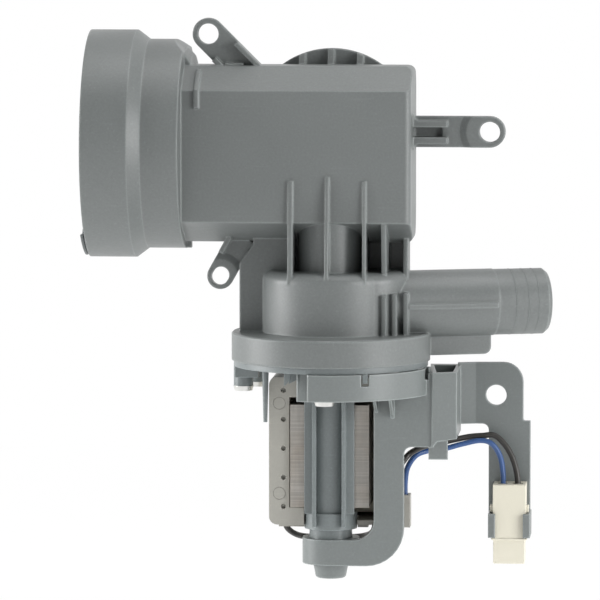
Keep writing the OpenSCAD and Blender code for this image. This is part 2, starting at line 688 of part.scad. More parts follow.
// Stator: the stack, the two coils on its legs and the cover round them
bore_gap = 0.3;
leg_x = 5.5;
leg_mid = (core_half_w + leg_x) / 2;
leg_w = core_half_w - leg_x;
yoke_y = core_back_y - 6;
core_low = -core_top_z - core_h;
bobbin_t = 1.2;
wind_t = 3.2;
coil_y0 = 13.5;
module stator_core() {
    color([0.6, 0.58, 0.56]) translate([0, 0, core_low]) linear_extrude(core_h) difference() {
        translate([-core_half_w, -core_front_y]) square([2 * core_half_w, core_front_y + core_back_y]);
        circle(r = can_r + bore_gap);
        translate([-leg_x, -core_front_y - 1]) square([2 * leg_x, core_front_y + 1 + yoke_y]);
    }
}
module leg_box(side, grow, y0, y1) {
    block([side * leg_mid - leg_w / 2 - grow, y0, core_low - grow],
        [side * leg_mid + leg_w / 2 + grow, y1, core_low + core_h + grow]);
}
module bobbin(side) {
    color([0.82, 0.8, 0.74]) difference() {
        union() {
            leg_box(side, 0.1 + bobbin_t, coil_y0, yoke_y - 0.2);
            leg_box(side, bobbin_t + wind_t, coil_y0, coil_y0 + 1);
            leg_box(side, bobbin_t + wind_t, yoke_y - 1.2, yoke_y - 0.2);
        }
        leg_box(side, 0.1, coil_y0 - 1, yoke_y + 1);
    }
}
module winding(side) {
    color([0.72, 0.42, 0.22]) difference() {
        leg_box(side, bobbin_t + wind_t - 0.1, coil_y0 + 1.1, yoke_y - 1.3);
        leg_box(side, bobbin_t + 0.2, coil_y0, yoke_y);
    }
}
module bobbin_left() {
    bobbin(-1);
}
module bobbin_right() {
    bobbin(1);
}
module winding_left() {
    winding(-1);
}
module winding_right() {
    winding(1);
}
shell_split = 16;
shell_front = -5;
shell_back = core_back_y + 2.4;
shell_top = -cover_top_z;
shell_low = -cover_top_z - cover_h;
module shell_outline(inset) {
    r = 3.2 - inset * 0.8;
    x0 = -cover_left_x + inset;
    x1 = cover_right_x - inset;
    z0 = shell_low + inset;
    z1 = shell_top - inset;
    polygon(concat(arc([x1 - r, z0 + r], r, -90, 0, 5), arc([x1 - r, z1 - r], r, 0, 90, 5),
        arc([x0 + r, z1 - r], r, 90, 180, 5), arc([x0 + r, z0 + r], r, 180, 270, 5)));
}
term_low = shell_low + cover_wall;
lead_left = [-18.2, 2];
lead_right = [29.6, 4];
lead_right_z = -57;
module coil_cover_front() {
    color(beige) difference() {
        union() {
            plate_xz(shell_front, shell_split) shell_outline(0);
            // Lip under the shell that the lead comes out of
            block([-21, 0, shell_low - 1.4], [15, 12, shell_low + 1]);
            // Block on the right side that the other lead goes into
            block([cover_right_x - 1, 0.6, shell_low - 1.4],
                [lead_right[0] + 2.2, 8, lead_right_z + 2.2]);
        }
        plate_xz(shell_front + cover_wall, shell_split + 1) shell_outline(cover_wall);
        // Window for the stack, and the row of small holes
        block([-core_half_w - 0.5, shell_front - 1, core_low - 0.4],
            [cover_right_x + 1, shell_front + 2, -core_top_z + 2.8]);
        block([0, shell_front - 1, shell_low - 0.1], [cover_right_x + 1, shell_front + 2,
            -core_top_z]);
        for (i = [0:4]) along_y([-18.7, shell_front - 1, -12.3 - i * 11.7], 1, cover_wall + 0.6);
        // Room for the can and its fins, and for the leads
        block([-wing_x - 0.4, shell_front - 8, shell_low - 2], [wing_x + 0.8, shell_front + 16.5,
            -cover_top_z + 1]);
        translate([lead_left[0], lead_left[1], shell_low - 3]) cylinder(r = wire_d / 2 + 0.3, h = 8);
        translate([lead_right[0], lead_right[1], lead_right_z])
            cylinder(r = wire_d / 2 + 0.3, h = 8);
        block([lead_right[0] - 1.3, lead_right[1] - 1.3, lead_right_z - 6],
            [lead_right[0] + 1.3, lead_right[1] + 1.3, lead_right_z + eps]);
        block([cover_right_x - 3, lead_right[1] - 0.5, lead_right_z - 6],
            [lead_right[0], lead_right[1] + 0.5, lead_right_z - 0.8]);
    }
}
module coil_cover_rear() {
    color(beige) difference() {
        plate_xz(shell_split + 0.05, shell_back) shell_outline(0);
        plate_xz(shell_split - 1, shell_back - cover_wall) shell_outline(cover_wall);
    }
}
// Crimped ends of the coil wires, where the two leads join them
module coil_terminals() {
    color([0.7, 0.68, 0.62]) {
        block([lead_left[0] - 1.2, lead_left[1] - 1.4, term_low],
            [lead_left[0] + 1.2, lead_left[1] + 1.4, term_low + 6]);
        block([lead_left[0] - 0.5, lead_left[1], term_low + 3], [lead_left[0] + 0.5, coil_y0,
            term_low + 6]);
        block([lead_right[0] - 1.2, lead_right[1] - 1.2, lead_right_z - 6],
            [lead_right[0] + 1.2, lead_right[1] + 1.2, lead_right_z]);
        block([cover_right_x - 2.6, lead_right[1] - 0.4, lead_right_z - 5.6],
            [lead_right[0], lead_right[1] + 0.4, lead_right_z - 1]);
        block([cover_right_x - 3.4, lead_right[1] - 0.4, lead_right_z - 5.6],
            [cover_right_x - 2.6, coil_y0, lead_right_z - 1]);
    }
}

// Motor bracket: ring, skirt, arm with the foot, duct and the plate that holds the connector
ring_top = -cover_t - 0.2;
ring_low = ring_top - ring_h;
arm_front = -cup_r + 0.2;
arm_back = arm_front + arm_t;
arm_out_x = arm_x + arm_w;
cup_low = -cup_bottom_z;
cup_top = cup_low + cup_h;
skirt_low = -34;
duct_x = [41.3, 51];
duct_y = [arm_front, 22];
duct_top = -4;
duct_lip = 0.8;
duct_fall = 2.6;
duct_lean = 2.6;
plate_y = duct_y[1] - bracket_t - 0.5;
plate_hole = [65.4, -16.2];
strip_x = [62.4, 79.2];
strip_low = -72.2;
bend_r = 15.2;
module bracket_ring() {
    start = -98.2;
    intersection() {
        difference() {
            translate([0, 0, ring_low]) cylinder(r = ring_r, h = ring_h);
            translate([0, 0, ring_low - 1]) cylinder(r = ring_r - 2, h = ring_h + 2);
        }
        translate([0, 0, ring_low - 1]) linear_extrude(ring_h + 2)
            polygon([[0, 0], [60 * cos(start), 60 * sin(start)], [60, -60], [60, -4]]);
    }
    // Rounded end of the ring, and the inner wall that ends further left
    rotate([0, 0, start]) translate([ring_r - 1, 0, ring_low]) cylinder(r = 1, h = ring_h);
    intersection() {
        difference() {
            translate([0, 0, ring_low - 1.2]) cylinder(r = 30.3, h = ring_h + 1.2);
            translate([0, 0, ring_low - 2]) cylinder(r = 28.5, h = ring_h + 3);
        }
        translate([0, 0, ring_low - 2]) linear_extrude(ring_h + 3)
            polygon([[0, 0], [60 * cos(-111.5), 60 * sin(-111.5)], [20, -60]]);
    }
    rotate([0, 0, -111.5]) translate([29.4, 0, ring_low - 1.2]) cylinder(r = 0.9, h = ring_h + 1.2);
    // Floor of the ring, wide under the skirt
    translate([0, 0, ring_low]) linear_extrude(2) intersection() {
        circle(r = ring_r - 0.5);
        union() {
            difference() {
                polygon([[0, 0], [60 * cos(start), 60 * sin(start)], [60, -60], [60, -4]]);
                circle(r = 29.5);
            }
            translate([arm_x, -40]) square([22, 40 + arm_back]);
        }
    }
    translate([screw_spots[0][0], screw_spots[0][1], ring_low]) cylinder(r = 4, h = ring_h + 0.2);
    for (g = [[19, 7.2], [25.4, 9.6]])
        plate_yz(g[0], 1.3) polygon([[arm_front + 1, ring_low + 1], [arm_front - 14, ring_low + 1],
            [arm_front - 14, ring_low - 0.8], [arm_front + 0.5, ring_low - g[1]]]);
}
module bracket_arm() {
    plate_xz(arm_front, arm_back) polygon(concat(
        [[arm_x, ring_low + 1], [arm_x, cup_top + 8]],
        arc([arm_x - 8, cup_top + 8], 8, 0, -90, 6),
        [[0, cup_top], [0, cup_low]],
        arc([arm_out_x - bend_r, cup_low + bend_r], bend_r, -90, 0, 8),
        arc([arm_out_x + 3, skirt_low - 3], 3, 180, 90, 4),
        [[duct_x[0] + 0.5, skirt_low], [duct_x[0] + 0.5, ring_low + 2]]));
}
module bracket_cup() {
    translate([0, 0, cup_low]) cylinder(r = cup_r, h = cup_h);
    rotate_extrude() polygon(concat([[0, cup_low + eps], [0, cup_low - foot_h]],
        arc([5, cup_low - foot_h + 1.2], 1.2, -90, -10, 4), [[7.2, cup_low + eps]]));
}
// The duct seen from above: its front stands proud at the left and falls back to the right
module duct_plan(inset, back) {
    low = duct_y[0] - duct_lip + inset;
    translate([0, 0, -60]) linear_extrude(70) polygon([[duct_x[0] + inset, low],
        [duct_x[1] - inset, low + duct_fall], [duct_x[1] - inset, back],
        [duct_x[0] + inset - duct_lean, back]]);
}
module bracket_duct() {
    difference() {
        intersection() {
            plate_xz(duct_y[0] - 2, duct_y[1]) polygon([[duct_x[0] - duct_lean, duct_top],
                [duct_x[1], duct_top], [duct_x[1], skirt_low + 3.2],
                [duct_x[0] + 2, skirt_low + 2.3], [duct_x[0], skirt_low],
                [duct_x[0] - duct_lean, skirt_low]]);
            duct_plan(0, duct_y[1]);
        }
        // Way for the leads under the duct
        block([duct_x[0] - duct_lean - 1, arm_back, skirt_low - 1], [duct_x[1] + 1,
            duct_y[1] + 1, skirt_low + 1.4]);
    }
    // Bridge from the duct to the ring
    block([36, arm_front, ring_low], [duct_x[0] + 1, -3, duct_top - 0.5]);
}
// The tab behind the duct's front wall that guards the leads
module bracket_tab() {
    block([39.8, arm_front + 0.8, -39], [47.4, arm_front + 3.2, skirt_low + 2.6]);
    block([duct_x[0], arm_front + 1.1, skirt_low + 2], [47.4, arm_front + 3.2, skirt_low + 6]);
}
module bracket_plate() {
    difference() {
        union() {
            plate_xz(plate_y, plate_y + bracket_t) polygon(concat(
                [[57, -3], [57, -27.8]],
                arc([strip_x[0] - 2.5, -30.3], 2.5, 90, 0, 4),
                [[strip_x[0], strip_low], [strip_x[1], strip_low], [strip_x[1], -26.6]],
                arc([strip_x[1] - 2.1, -25.8], 0.8, -90, -180, 3),
                arc([strip_x[1] - 11, -11], 8.1, 0, 90, 8)));
            // Bent part between the duct and the plate
            translate([0, 0, -27.8]) linear_extrude(24.8) polygon([[duct_x[1] - 1, plate_y - 2.2],
                [57.1, plate_y], [57.1, plate_y + bracket_t], [duct_x[1] - 1, plate_y + 0.4]]);
        }
        along_y([plate_hole[0], plate_y - 1, plate_hole[1]], plate_hole_r, bracket_t + 2);
    }
    // Clip arms round the connector
    for (s = [-1, 1]) translate([plug_x, 0, 0]) {
        block([s > 0 ? plug_w / 2 + 0.2 : -plug_w / 2 - 1.8, plug_y - 1.4, strip_low],
            [s > 0 ? plug_w / 2 + 1.8 : -plug_w / 2 - 0.2, plate_y + 1, strip_low + 9.6]);
        block([s > 0 ? plug_w / 2 - 1 : -plug_w / 2 - 1.8, plug_y - 1.8, strip_low],
            [s > 0 ? plug_w / 2 + 1.8 : -plug_w / 2 + 1, plug_y - 0.2, strip_low + 9.6]);
    }
}
module motor_bracket() {
    color(bracket_grey) union() {
        difference() {
            union() {
                bracket_ring();
                bracket_arm();
                bracket_cup();
                bracket_duct();
                bracket_plate();
            }
            translate([0, 0, cup_low + 2.4]) cylinder(r = tail_r + 0.2, h = cup_h);
            duct_plan(1.6, duct_y[1] - 4.6);
            translate([screw_spots[0][0], screw_spots[0][1], ring_low - 1])
                cylinder(r = screw_r + 0.2, h = ring_h + 3);
            // Notch for the hook, and the slot at the ring's right end
            block([14.7, -42, ring_top - 4.6], [17.7, -33, ring_top + 1]);
            block([38.4, -14, ring_top - 4.4], [39.6, -5, ring_top + 1]);
        }
        bracket_tab();
    }
}
head_h = 2;
module flange_screws() {
    seats = [ring_low, -10.5, -10.7, -10.7];
    color([0.85, 0.85, 0.84]) for (i = [0:3]) translate([screw_spots[i][0], screw_spots[i][1], 0]) {
        difference() {
            translate([0, 0, seats[i] - head_h]) union() {
                cylinder(r1 = 3.6, r2 = 4.1, h = head_h);
            }
            translate([0, 0, seats[i] - head_h - 0.5]) cylinder(r = 1.5, h = 1.9, $fn = 6);
        }
        translate([0, 0, seats[i] - eps]) cylinder(r = screw_r - 0.1, h = 7.6 - seats[i]);
    }
}

// Connector in the clip, its contacts, and the two leads
plug_x = (strip_x[0] + strip_x[1]) / 2 + 0.5;
plug_y = plate_y - plug_d - 0.3;
ledge_z = strip_low - 0.3;
pin_x = [-2.8, 3.3];
module connector() {
    color([0.9, 0.88, 0.82]) difference() {
        translate([plug_x, 0, 0]) union() {
            block([-plug_w / 2, plug_y, ledge_z - 0.5], [plug_w / 2, plug_y + plug_d,
                ledge_z + 1 + plug_h]);
            block([-plug_w / 2 - 0.6, plug_y - 0.3, ledge_z - 0.8], [plug_w / 2 + 0.6,
                plug_y + plug_d, ledge_z - 0.02]);
            block([-plug_w / 2 + 0.2, plug_y + 0.3, ledge_z - 10.4], [plug_w / 2 - 0.4,
                plug_y + plug_d - 0.3, ledge_z]);
            for (s = [-1, 1]) block([s > 0 ? plug_w / 2 - 0.5 : -plug_w / 2 - 1.2, plug_y + 2,
                strip_low + 9.9], [s > 0 ? plug_w / 2 + 1.2 : -plug_w / 2 + 0.5, plug_y + 5,
                strip_low + 12.8]);
        }
        for (x = pin_x) block([plug_x + x - 2, plug_y + plug_d / 2 - 2, ledge_z + plug_h - 9],
            [plug_x + x + 2, plug_y + plug_d / 2 + 2, ledge_z + plug_h + 3]);
        for (x = pin_x) block([plug_x + x - 1.6, plug_y + plug_d / 2 - 1.2, ledge_z - 12],
            [plug_x + x + 1.6, plug_y + plug_d / 2 + 1.2, ledge_z + plug_h]);
    }
}
contact_top = ledge_z + plug_h - 9;
module contacts() {
    color([0.75, 0.7, 0.5]) for (x = pin_x)
        block([plug_x + x - 1.5, plug_y + plug_d / 2 - 1.1, ledge_z - 8],
            [plug_x + x + 1.5, plug_y + plug_d / 2 + 1.1, contact_top]);
}
wire_y = plug_y + plug_d / 2;
black_route = [[lead_left[0], lead_left[1], term_low], [-18, 2.2, -68.2], [-15.3, 6, -71.4],
    [-11, 11.5, -73.4], [-2, 14.5, -73.8], [7, 13.4, -73.7], [13.1, 8.6, -72.4],
    [16.8, 0, -69.6], [18.8, -6.2, -64.5], [22, -6.5, -56], [26, -6.5, -46],
    [29.5, -6.3, -40.3], [32.6, -3.8, -37], [38, 4, -35.2], [43.3, 9.6, -34.7],
    [50, 12.2, -33.4], [55, 13.4, -32.5], [60, 13.7, -32.1], [65.3, 14.2, -32.2],
    [70.5, 13.9, -37.6], [73.6, 13, -45], [plug_x + pin_x[1], wire_y, -52.5],
    [plug_x + pin_x[1], wire_y, contact_top]];
blue_route = [[lead_right[0], lead_right[1], lead_right_z], [29.6, 4, -50], [30.6, 4, -44],
    [33.8, 5, -39.4], [38, 7.2, -37.8], [43, 8.8, -37.4], [47.3, 9.2, -36.4], [52, 10.5, -35.2],
    [59.2, 11.6, -33.8], [63.9, 12, -35.1], [67.2, 12.4, -40], [plug_x + pin_x[0], wire_y, -47],
    [plug_x + pin_x[0], wire_y, -53], [plug_x + pin_x[0], wire_y, contact_top]];
function spline_point(p0, p1, p2, p3, t) = 0.5 * (2 * p1 + (p2 - p0) * t
    + (2 * p0 - 5 * p1 + 4 * p2 - p3) * t * t + (3 * p1 - p0 - 3 * p2 + p3) * t * t * t);
// Points of a smooth line through a route, with some steps for each stretch
function smooth(route, steps) = let (n = len(route)) concat(
    [for (i = [0:n - 2]) for (k = [0:steps - 1]) spline_point(route[max(i - 1, 0)], route[i],
        route[i + 1], route[min(i + 2, n - 1)], k / steps)], [route[n - 1]]);
function unit(v) = v / norm(v);
// Both ends of a lead stand upright
function run(pts, i) = let (d = pts[min(i + 1, len(pts) - 1)] - pts[max(i - 1, 0)])
    i == 0 || i == len(pts) - 1 ? [0, 0, sign(d[2])] : unit(d);
function frames(pts, i, side) = i >= len(pts) ? [] : let (
    dir = run(pts, i),
    u = unit(side - dir * (side * dir))) concat([[u, cross(dir, u)]], frames(pts, i + 1, u));
// One closed tube along points
module tube(pts, r, sides) {
    n = len(pts);
    f = frames(pts, 0, [0, 1, 0]);
    rings = [for (i = [0:n - 1]) for (k = [0:sides - 1]) let (a = 360 * k / sides)
        pts[i] + r * (cos(a) * f[i][0] + sin(a) * f[i][1])];
    walls = [for (i = [0:n - 2]) for (k = [0:sides - 1]) let (a = i * sides + k,
        b = i * sides + (k + 1) % sides) each [[a, b, a + sides], [b, b + sides, a + sides]]];
    low = [for (k = [1:sides - 2]) [0, k + 1, k]];
    high = [for (k = [1:sides - 2]) let (s = (n - 1) * sides) [s, s + k, s + k + 1]];
    polyhedron(points = rings, faces = concat([for (w = walls) [w[2], w[1], w[0]]],
        [for (w = low) [w[2], w[1], w[0]]], [for (w = high) [w[2], w[1], w[0]]]));
}
module wire_black() {
    color([0.2, 0.19, 0.18]) tube(smooth(black_route, 2), wire_d / 2, 8);
}
module wire_blue() {
    color([0.16, 0.27, 0.5]) tube(smooth(blue_route, 2), wire_d / 2 - 0.1, 8);
}

pump_housing();
chamber_front();
chamber_rear();
filter_collar();
inlet_spigot();
outlet_spigot();
filter_cap();
filter_seal();
filter_basket();
volute_seal();
impeller();
rotor_shaft();
rotor_magnet();
rotor_sleeve();
thrust_washer();
bearing_carrier();
shaft_seal();
front_bearing();
rear_bearing();
rotor_housing();
stator_core();
bobbin_left();
bobbin_right();
winding_left();
winding_right();
coil_cover_front();
coil_cover_rear();
coil_terminals();
motor_bracket();
flange_screws();
wire_black();
wire_blue();
connector();
contacts();
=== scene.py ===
"""Finishes, leads, laminations and stage for a washing machine drain pump.

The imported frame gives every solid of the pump. Here its mouldings get soft edges and
their plastics, the stator gets its sheets, the two leads get round insulation, and a
pale floor, soft lamps and the camera are set up round them.
"""

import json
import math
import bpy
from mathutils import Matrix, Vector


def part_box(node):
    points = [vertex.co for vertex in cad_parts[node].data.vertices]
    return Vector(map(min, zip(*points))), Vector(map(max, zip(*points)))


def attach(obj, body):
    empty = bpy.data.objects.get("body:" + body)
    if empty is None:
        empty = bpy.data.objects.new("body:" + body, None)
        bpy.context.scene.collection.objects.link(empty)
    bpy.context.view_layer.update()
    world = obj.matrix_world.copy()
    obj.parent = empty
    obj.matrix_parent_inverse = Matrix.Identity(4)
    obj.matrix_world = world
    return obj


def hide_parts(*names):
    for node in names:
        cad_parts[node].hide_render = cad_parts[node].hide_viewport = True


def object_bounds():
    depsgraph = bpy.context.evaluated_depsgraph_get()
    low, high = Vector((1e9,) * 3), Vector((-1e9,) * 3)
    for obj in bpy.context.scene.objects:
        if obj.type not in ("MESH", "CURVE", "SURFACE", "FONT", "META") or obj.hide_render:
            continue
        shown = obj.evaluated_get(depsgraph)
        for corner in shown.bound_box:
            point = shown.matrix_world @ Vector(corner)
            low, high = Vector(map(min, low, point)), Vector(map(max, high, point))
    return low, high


bl_info = {
    "name": "Washer drain pump",
    "version": (1, 0),
    "blender": (4, 5, 0),
    "location": "3D View > Sidebar > Drain pump",
    "description": "Finishes and fine pieces of a washing machine drain pump",
    "category": "Object",
}

import bmesh
import bpy
from bpy.props import FloatProperty, FloatVectorProperty, IntProperty, PointerProperty
from mathutils import Matrix, Vector

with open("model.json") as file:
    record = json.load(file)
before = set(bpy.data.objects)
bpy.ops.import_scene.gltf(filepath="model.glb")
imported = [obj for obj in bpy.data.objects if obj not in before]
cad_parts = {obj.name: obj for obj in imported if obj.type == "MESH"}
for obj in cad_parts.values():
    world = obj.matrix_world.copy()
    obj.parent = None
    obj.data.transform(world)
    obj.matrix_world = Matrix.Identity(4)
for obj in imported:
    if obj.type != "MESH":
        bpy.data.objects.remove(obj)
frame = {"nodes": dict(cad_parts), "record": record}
CAD_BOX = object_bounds()

MM = 0.001
HOUSING_NODES = (
    "pump_housing", "chamber_front", "chamber_rear", "filter_collar", "inlet_spigot", "outlet_spigot",
)
OUTLET_TURN = math.radians(18)
OUTLET_START = Vector((0, -8.4, 22.2)) * MM
SPIGOT_R = 13.2 * MM
# Distances of the fine lines along the outlet, and half the width of one
LINES_ALONG = (74.0 * MM, 79.1 * MM, 83.3 * MM)
LINE_HALF = 0.18 * MM
# Centres of the ejector marks, across and up
MARK_CENTRES = ((-20.4, -17.6), (-20.4, -53.9))

# The point that the camera looks at, across and up
PICTURE_X = -12.4 * MM
PICTURE_Z = 23.6 * MM
LENS_MM = 360
SENSOR_MM = 36
FAR_CLIP = 50
FLOOR_SIZE = 30

# Points nearer than this are one point, in a solid and in a cut plane
SAME_POINT = 0.001 * MM
SAME_CUT_POINT = 0.004 * MM
IN_PLANE = 0.002 * MM

# The leads' routes, the same points as in the part's source
BLACK_ROUTE = (
    (-18.2, 2, -64.7),
    (-18, 2.2, -68.2),
    (-15.3, 6, -71.4),
    (-11, 11.5, -73.4),
    (-2, 14.5, -73.8),
    (7, 13.4, -73.7),
    (13.1, 8.6, -72.4),
    (16.8, 0, -69.6),
    (18.8, -6.2, -64.5),
    (22, -6.5, -56),
    (26, -6.5, -46),
    (29.5, -6.3, -40.3),
    (32.6, -3.8, -37),
    (38, 4, -35.2),
    (43.3, 9.6, -34.7),
    (50, 12.2, -33.4),
    (55, 13.4, -32.5),
    (60, 13.7, -32.1),
    (65.3, 14.2, -32.2),
    (70.5, 13.9, -37.6),
    (73.6, 13, -45),
    (74.6, 12.2, -52.5),
)
BLUE_ROUTE = (
    (29.6, 4, -57),
    (29.6, 4, -50),
    (30.6, 4, -44),
    (33.8, 5, -39.4),
    (38, 7.2, -37.8),
    (43, 8.8, -37.4),
    (47.3, 9.2, -36.4),
    (52, 10.5, -35.2),
    (59.2, 11.6, -33.8),
    (63.9, 12, -35.1),
    (67.2, 12.4, -40),
    (68.5, 12.2, -47),
    (68.5, 12.2, -53),
)


class PumpSizes(bpy.types.PropertyGroup):
    """Sizes that the frame doesn't give."""

    edge_round: FloatProperty(
        name="Edge radius",
        description="Radius of the bevels on the cap and the rear coil cover",
        default=0.4 * MM,
        min=0,
        unit="LENGTH",
    )
    fine_edge_round: FloatProperty(
        name="Fine edge radius",
        description="Radius of the edges of small pieces",
        default=0.2 * MM,
        min=0,
        unit="LENGTH",
    )
    black_lead: FloatProperty(
        name="Black lead",
        description="Diameter of the black lead",
        default=2.4 * MM,
        unit="LENGTH",
    )
    blue_lead: FloatProperty(
        name="Blue lead",
        description="Diameter of the blue lead",
        default=2.2 * MM,
        unit="LENGTH",
    )
    lead_steps: IntProperty(
        name="Lead steps",
        description="Steps between two points of a lead's route",
        default=8,
        min=2,
    )
    sheet_pitch: FloatProperty(
        name="Sheet pitch",
        description="Distance from one lamination to the next",
        default=0.515 * MM,
        unit="LENGTH",
    )
    sheet_gap: FloatProperty(
        name="Sheet gap",
        description="Gap between two laminations",
        default=0.075 * MM,
        unit="LENGTH",
    )
    mark_r: FloatProperty(
        name="Ejector mark radius",
        description="Radius of the ejector marks on the coil cover",
        default=2.3 * MM,
        unit="LENGTH",
    )
    line_h: FloatProperty(
        name="Line height",
        description="Height of the fine lines round the outlet spigot",
        default=0.06 * MM,
        unit="LENGTH",
    )
    camera_distance: FloatProperty(
        name="Camera distance",
        description="Distance from the camera to the point it looks at",
        default=2.4,
        unit="LENGTH",
    )
    camera_turn: FloatProperty(
        name="Camera turn",
        description="How far the camera stands to the right of the front",
        default=math.radians(4.6),
        subtype="ANGLE",
    )
    camera_rise: FloatProperty(
        name="Camera rise",
        description="How far the camera looks down",
        default=math.radians(5.5),
        subtype="ANGLE",
    )
    floor_drop: FloatProperty(
        name="Floor drop",
        description="Distance from the pump's foot down to the floor",
        default=0.03,
        unit="LENGTH",
    )


def colour_property(name, description, colour):
    return FloatVectorProperty(
        name=name, description=description, subtype="COLOR", size=3, default=colour, min=0, max=1
    )


class PumpColours(bpy.types.PropertyGroup):
    """Colours of the finishes, in linear light."""

    housing: colour_property("Housing", "Grey of the pump housing", (0.135, 0.146, 0.144))
    can: colour_property("Rotor can", "Blue-grey of the rotor housing", (0.15, 0.17, 0.172))
    bracket: colour_property("Bracket", "Lighter grey of the motor bracket", (0.15, 0.165, 0.163))
    cover: colour_property("Coil cover", "Warm grey of the coil cover", (0.315, 0.308, 0.278))
    cap: colour_property("Filter cap", "Dark grey of the filter cap", (0.075, 0.085, 0.086))
    connector: colour_property("Connector", "Cream of the connector", (0.615, 0.588, 0.49))
    natural: colour_property("Bobbins", "Natural plastic of bobbins and sleeve", (0.7, 0.66, 0.55))
    impeller: colour_property("Impeller", "Black of the impeller", (0.03, 0.03, 0.033))
    rubber: colour_property("Rubber", "Black of the seals", (0.018, 0.018, 0.018))
    black_lead: colour_property("Black lead", "Insulation of the black lead", (0.03, 0.028, 0.025))
    blue_lead: colour_property("Blue lead", "Insulation of the blue lead", (0.028, 0.075, 0.21))
    steel: colour_property("Steel", "Cut edges of the laminations", (0.44, 0.42, 0.39))
    shaft: colour_property("Shaft", "Ground steel of the shaft", (0.6, 0.6, 0.59))
    contacts: colour_property("Contacts", "Tinned contacts and terminals", (0.62, 0.57, 0.42))
    zinc: colour_property("Zinc", "Plating of the screws", (0.72, 0.72, 0.7))
    bronze: colour_property("Bronze", "Sintered bearings", (0.36, 0.21, 0.1))
    copper: colour_property("Copper", "Enamelled wire", (0.5, 0.2, 0.08))
    ferrite: colour_property("Ferrite", "The rotor's magnet", (0.035, 0.035, 0.037))


def sizes():
    return bpy.context.scene.pump_sizes


def colours():
    return bpy.context.scene.pump_colours


# Node groups that more than one finish uses
def new_group(name, inputs, outputs):
    """A shader node group with its sockets: (name, type, default) in, (name, type) out."""
    group = bpy.data.node_groups.new(name, "ShaderNodeTree")
    for label, kind, value in inputs:
        socket = group.interface.new_socket(name=label, in_out="INPUT", socket_type=kind)
        socket.default_value = value
    for label, kind in outputs:
        group.interface.new_socket(name=label, in_out="OUTPUT", socket_type=kind)
    return group, group.nodes.new("NodeGroupInput"), group.nodes.new("NodeGroupOutput")


def feed(links, socket, value):
    """Gives a socket its source or its plain value."""
    if isinstance(value, bpy.types.NodeSocket):
        links.new(value, socket)
    else:
        socket.default_value = value


def math_node(nodes, links, operation, *operands):
    """A Math node; its operands are sockets or numbers."""
    node = nodes.new("ShaderNodeMath")
    node.operation = operation
    for socket, operand in zip(node.inputs, operands):
        feed(links, socket, operand)
    return node.outputs[0]


def noise_node(nodes, links, vector, scale, detail=3.0, roughness=0.5):
    node = nodes.new("ShaderNodeTexNoise")
    links.new(vector, node.inputs["Vector"])
    feed(links, node.inputs["Scale"], scale)
    node.inputs["Detail"].default_value = detail
    node.inputs["Roughness"].default_value = roughness
    return node.outputs["Fac"]


def range_node(nodes, links, value, start, end, low=0.0, high=1.0):
    """A Map Range node: from start to end it goes from low to high."""
    node = nodes.new("ShaderNodeMapRange")
    links.new(value, node.inputs["Value"])
    for label, bound in (("From Min", start), ("From Max", end), ("To Min", low), ("To Max", high)):
        feed(links, node.inputs[label], bound)
    return node.outputs["Result"]


def gain_node(nodes, links, colour, gain):
    """A colour times a number."""
    node = nodes.new("ShaderNodeVectorMath")
    node.operation = "SCALE"
    links.new(colour, node.inputs[0])
    links.new(gain, node.inputs["Scale"])
    return node.outputs["Vector"]


def relief_node(nodes, links, height, strength, distance, normal=None):
    """A Bump node over a height, on top of a normal where one is given."""
    node = nodes.new("ShaderNodeBump")
    node.inputs["Strength"].default_value = strength
    node.inputs["Distance"].default_value = distance
    links.new(height, node.inputs["Height"])
    if normal:
        links.new(normal, node.inputs["Normal"])
    return node.outputs["Normal"]


def soft_edge_group():
    """A rounded normal at edges, and a mask that is 1 where an edge turns most."""
    group, enter, leave = new_group(
        "Soft edge",
        [("Radius", "NodeSocketFloat", 0.4 * MM)],
        [("Mask", "NodeSocketFloat"), ("Normal", "NodeSocketVector")],
    )
    nodes, links = group.nodes, group.links
    bevel = nodes.new("ShaderNodeBevel")
    bevel.samples = 6
    links.new(enter.outputs["Radius"], bevel.inputs["Radius"])
    geometry = nodes.new("ShaderNodeNewGeometry")
    dot = nodes.new("ShaderNodeVectorMath")
    dot.operation = "DOT_PRODUCT"
    links.new(bevel.outputs["Normal"], dot.inputs[0])
    links.new(geometry.outputs["Normal"], dot.inputs[1])
    turned = math_node(nodes, links, "SUBTRACT", 1.0, dot.outputs["Value"])
    links.new(range_node(nodes, links, turned, 0.004, 0.12), leave.inputs["Mask"])
    links.new(bevel.outputs["Normal"], leave.inputs["Normal"])


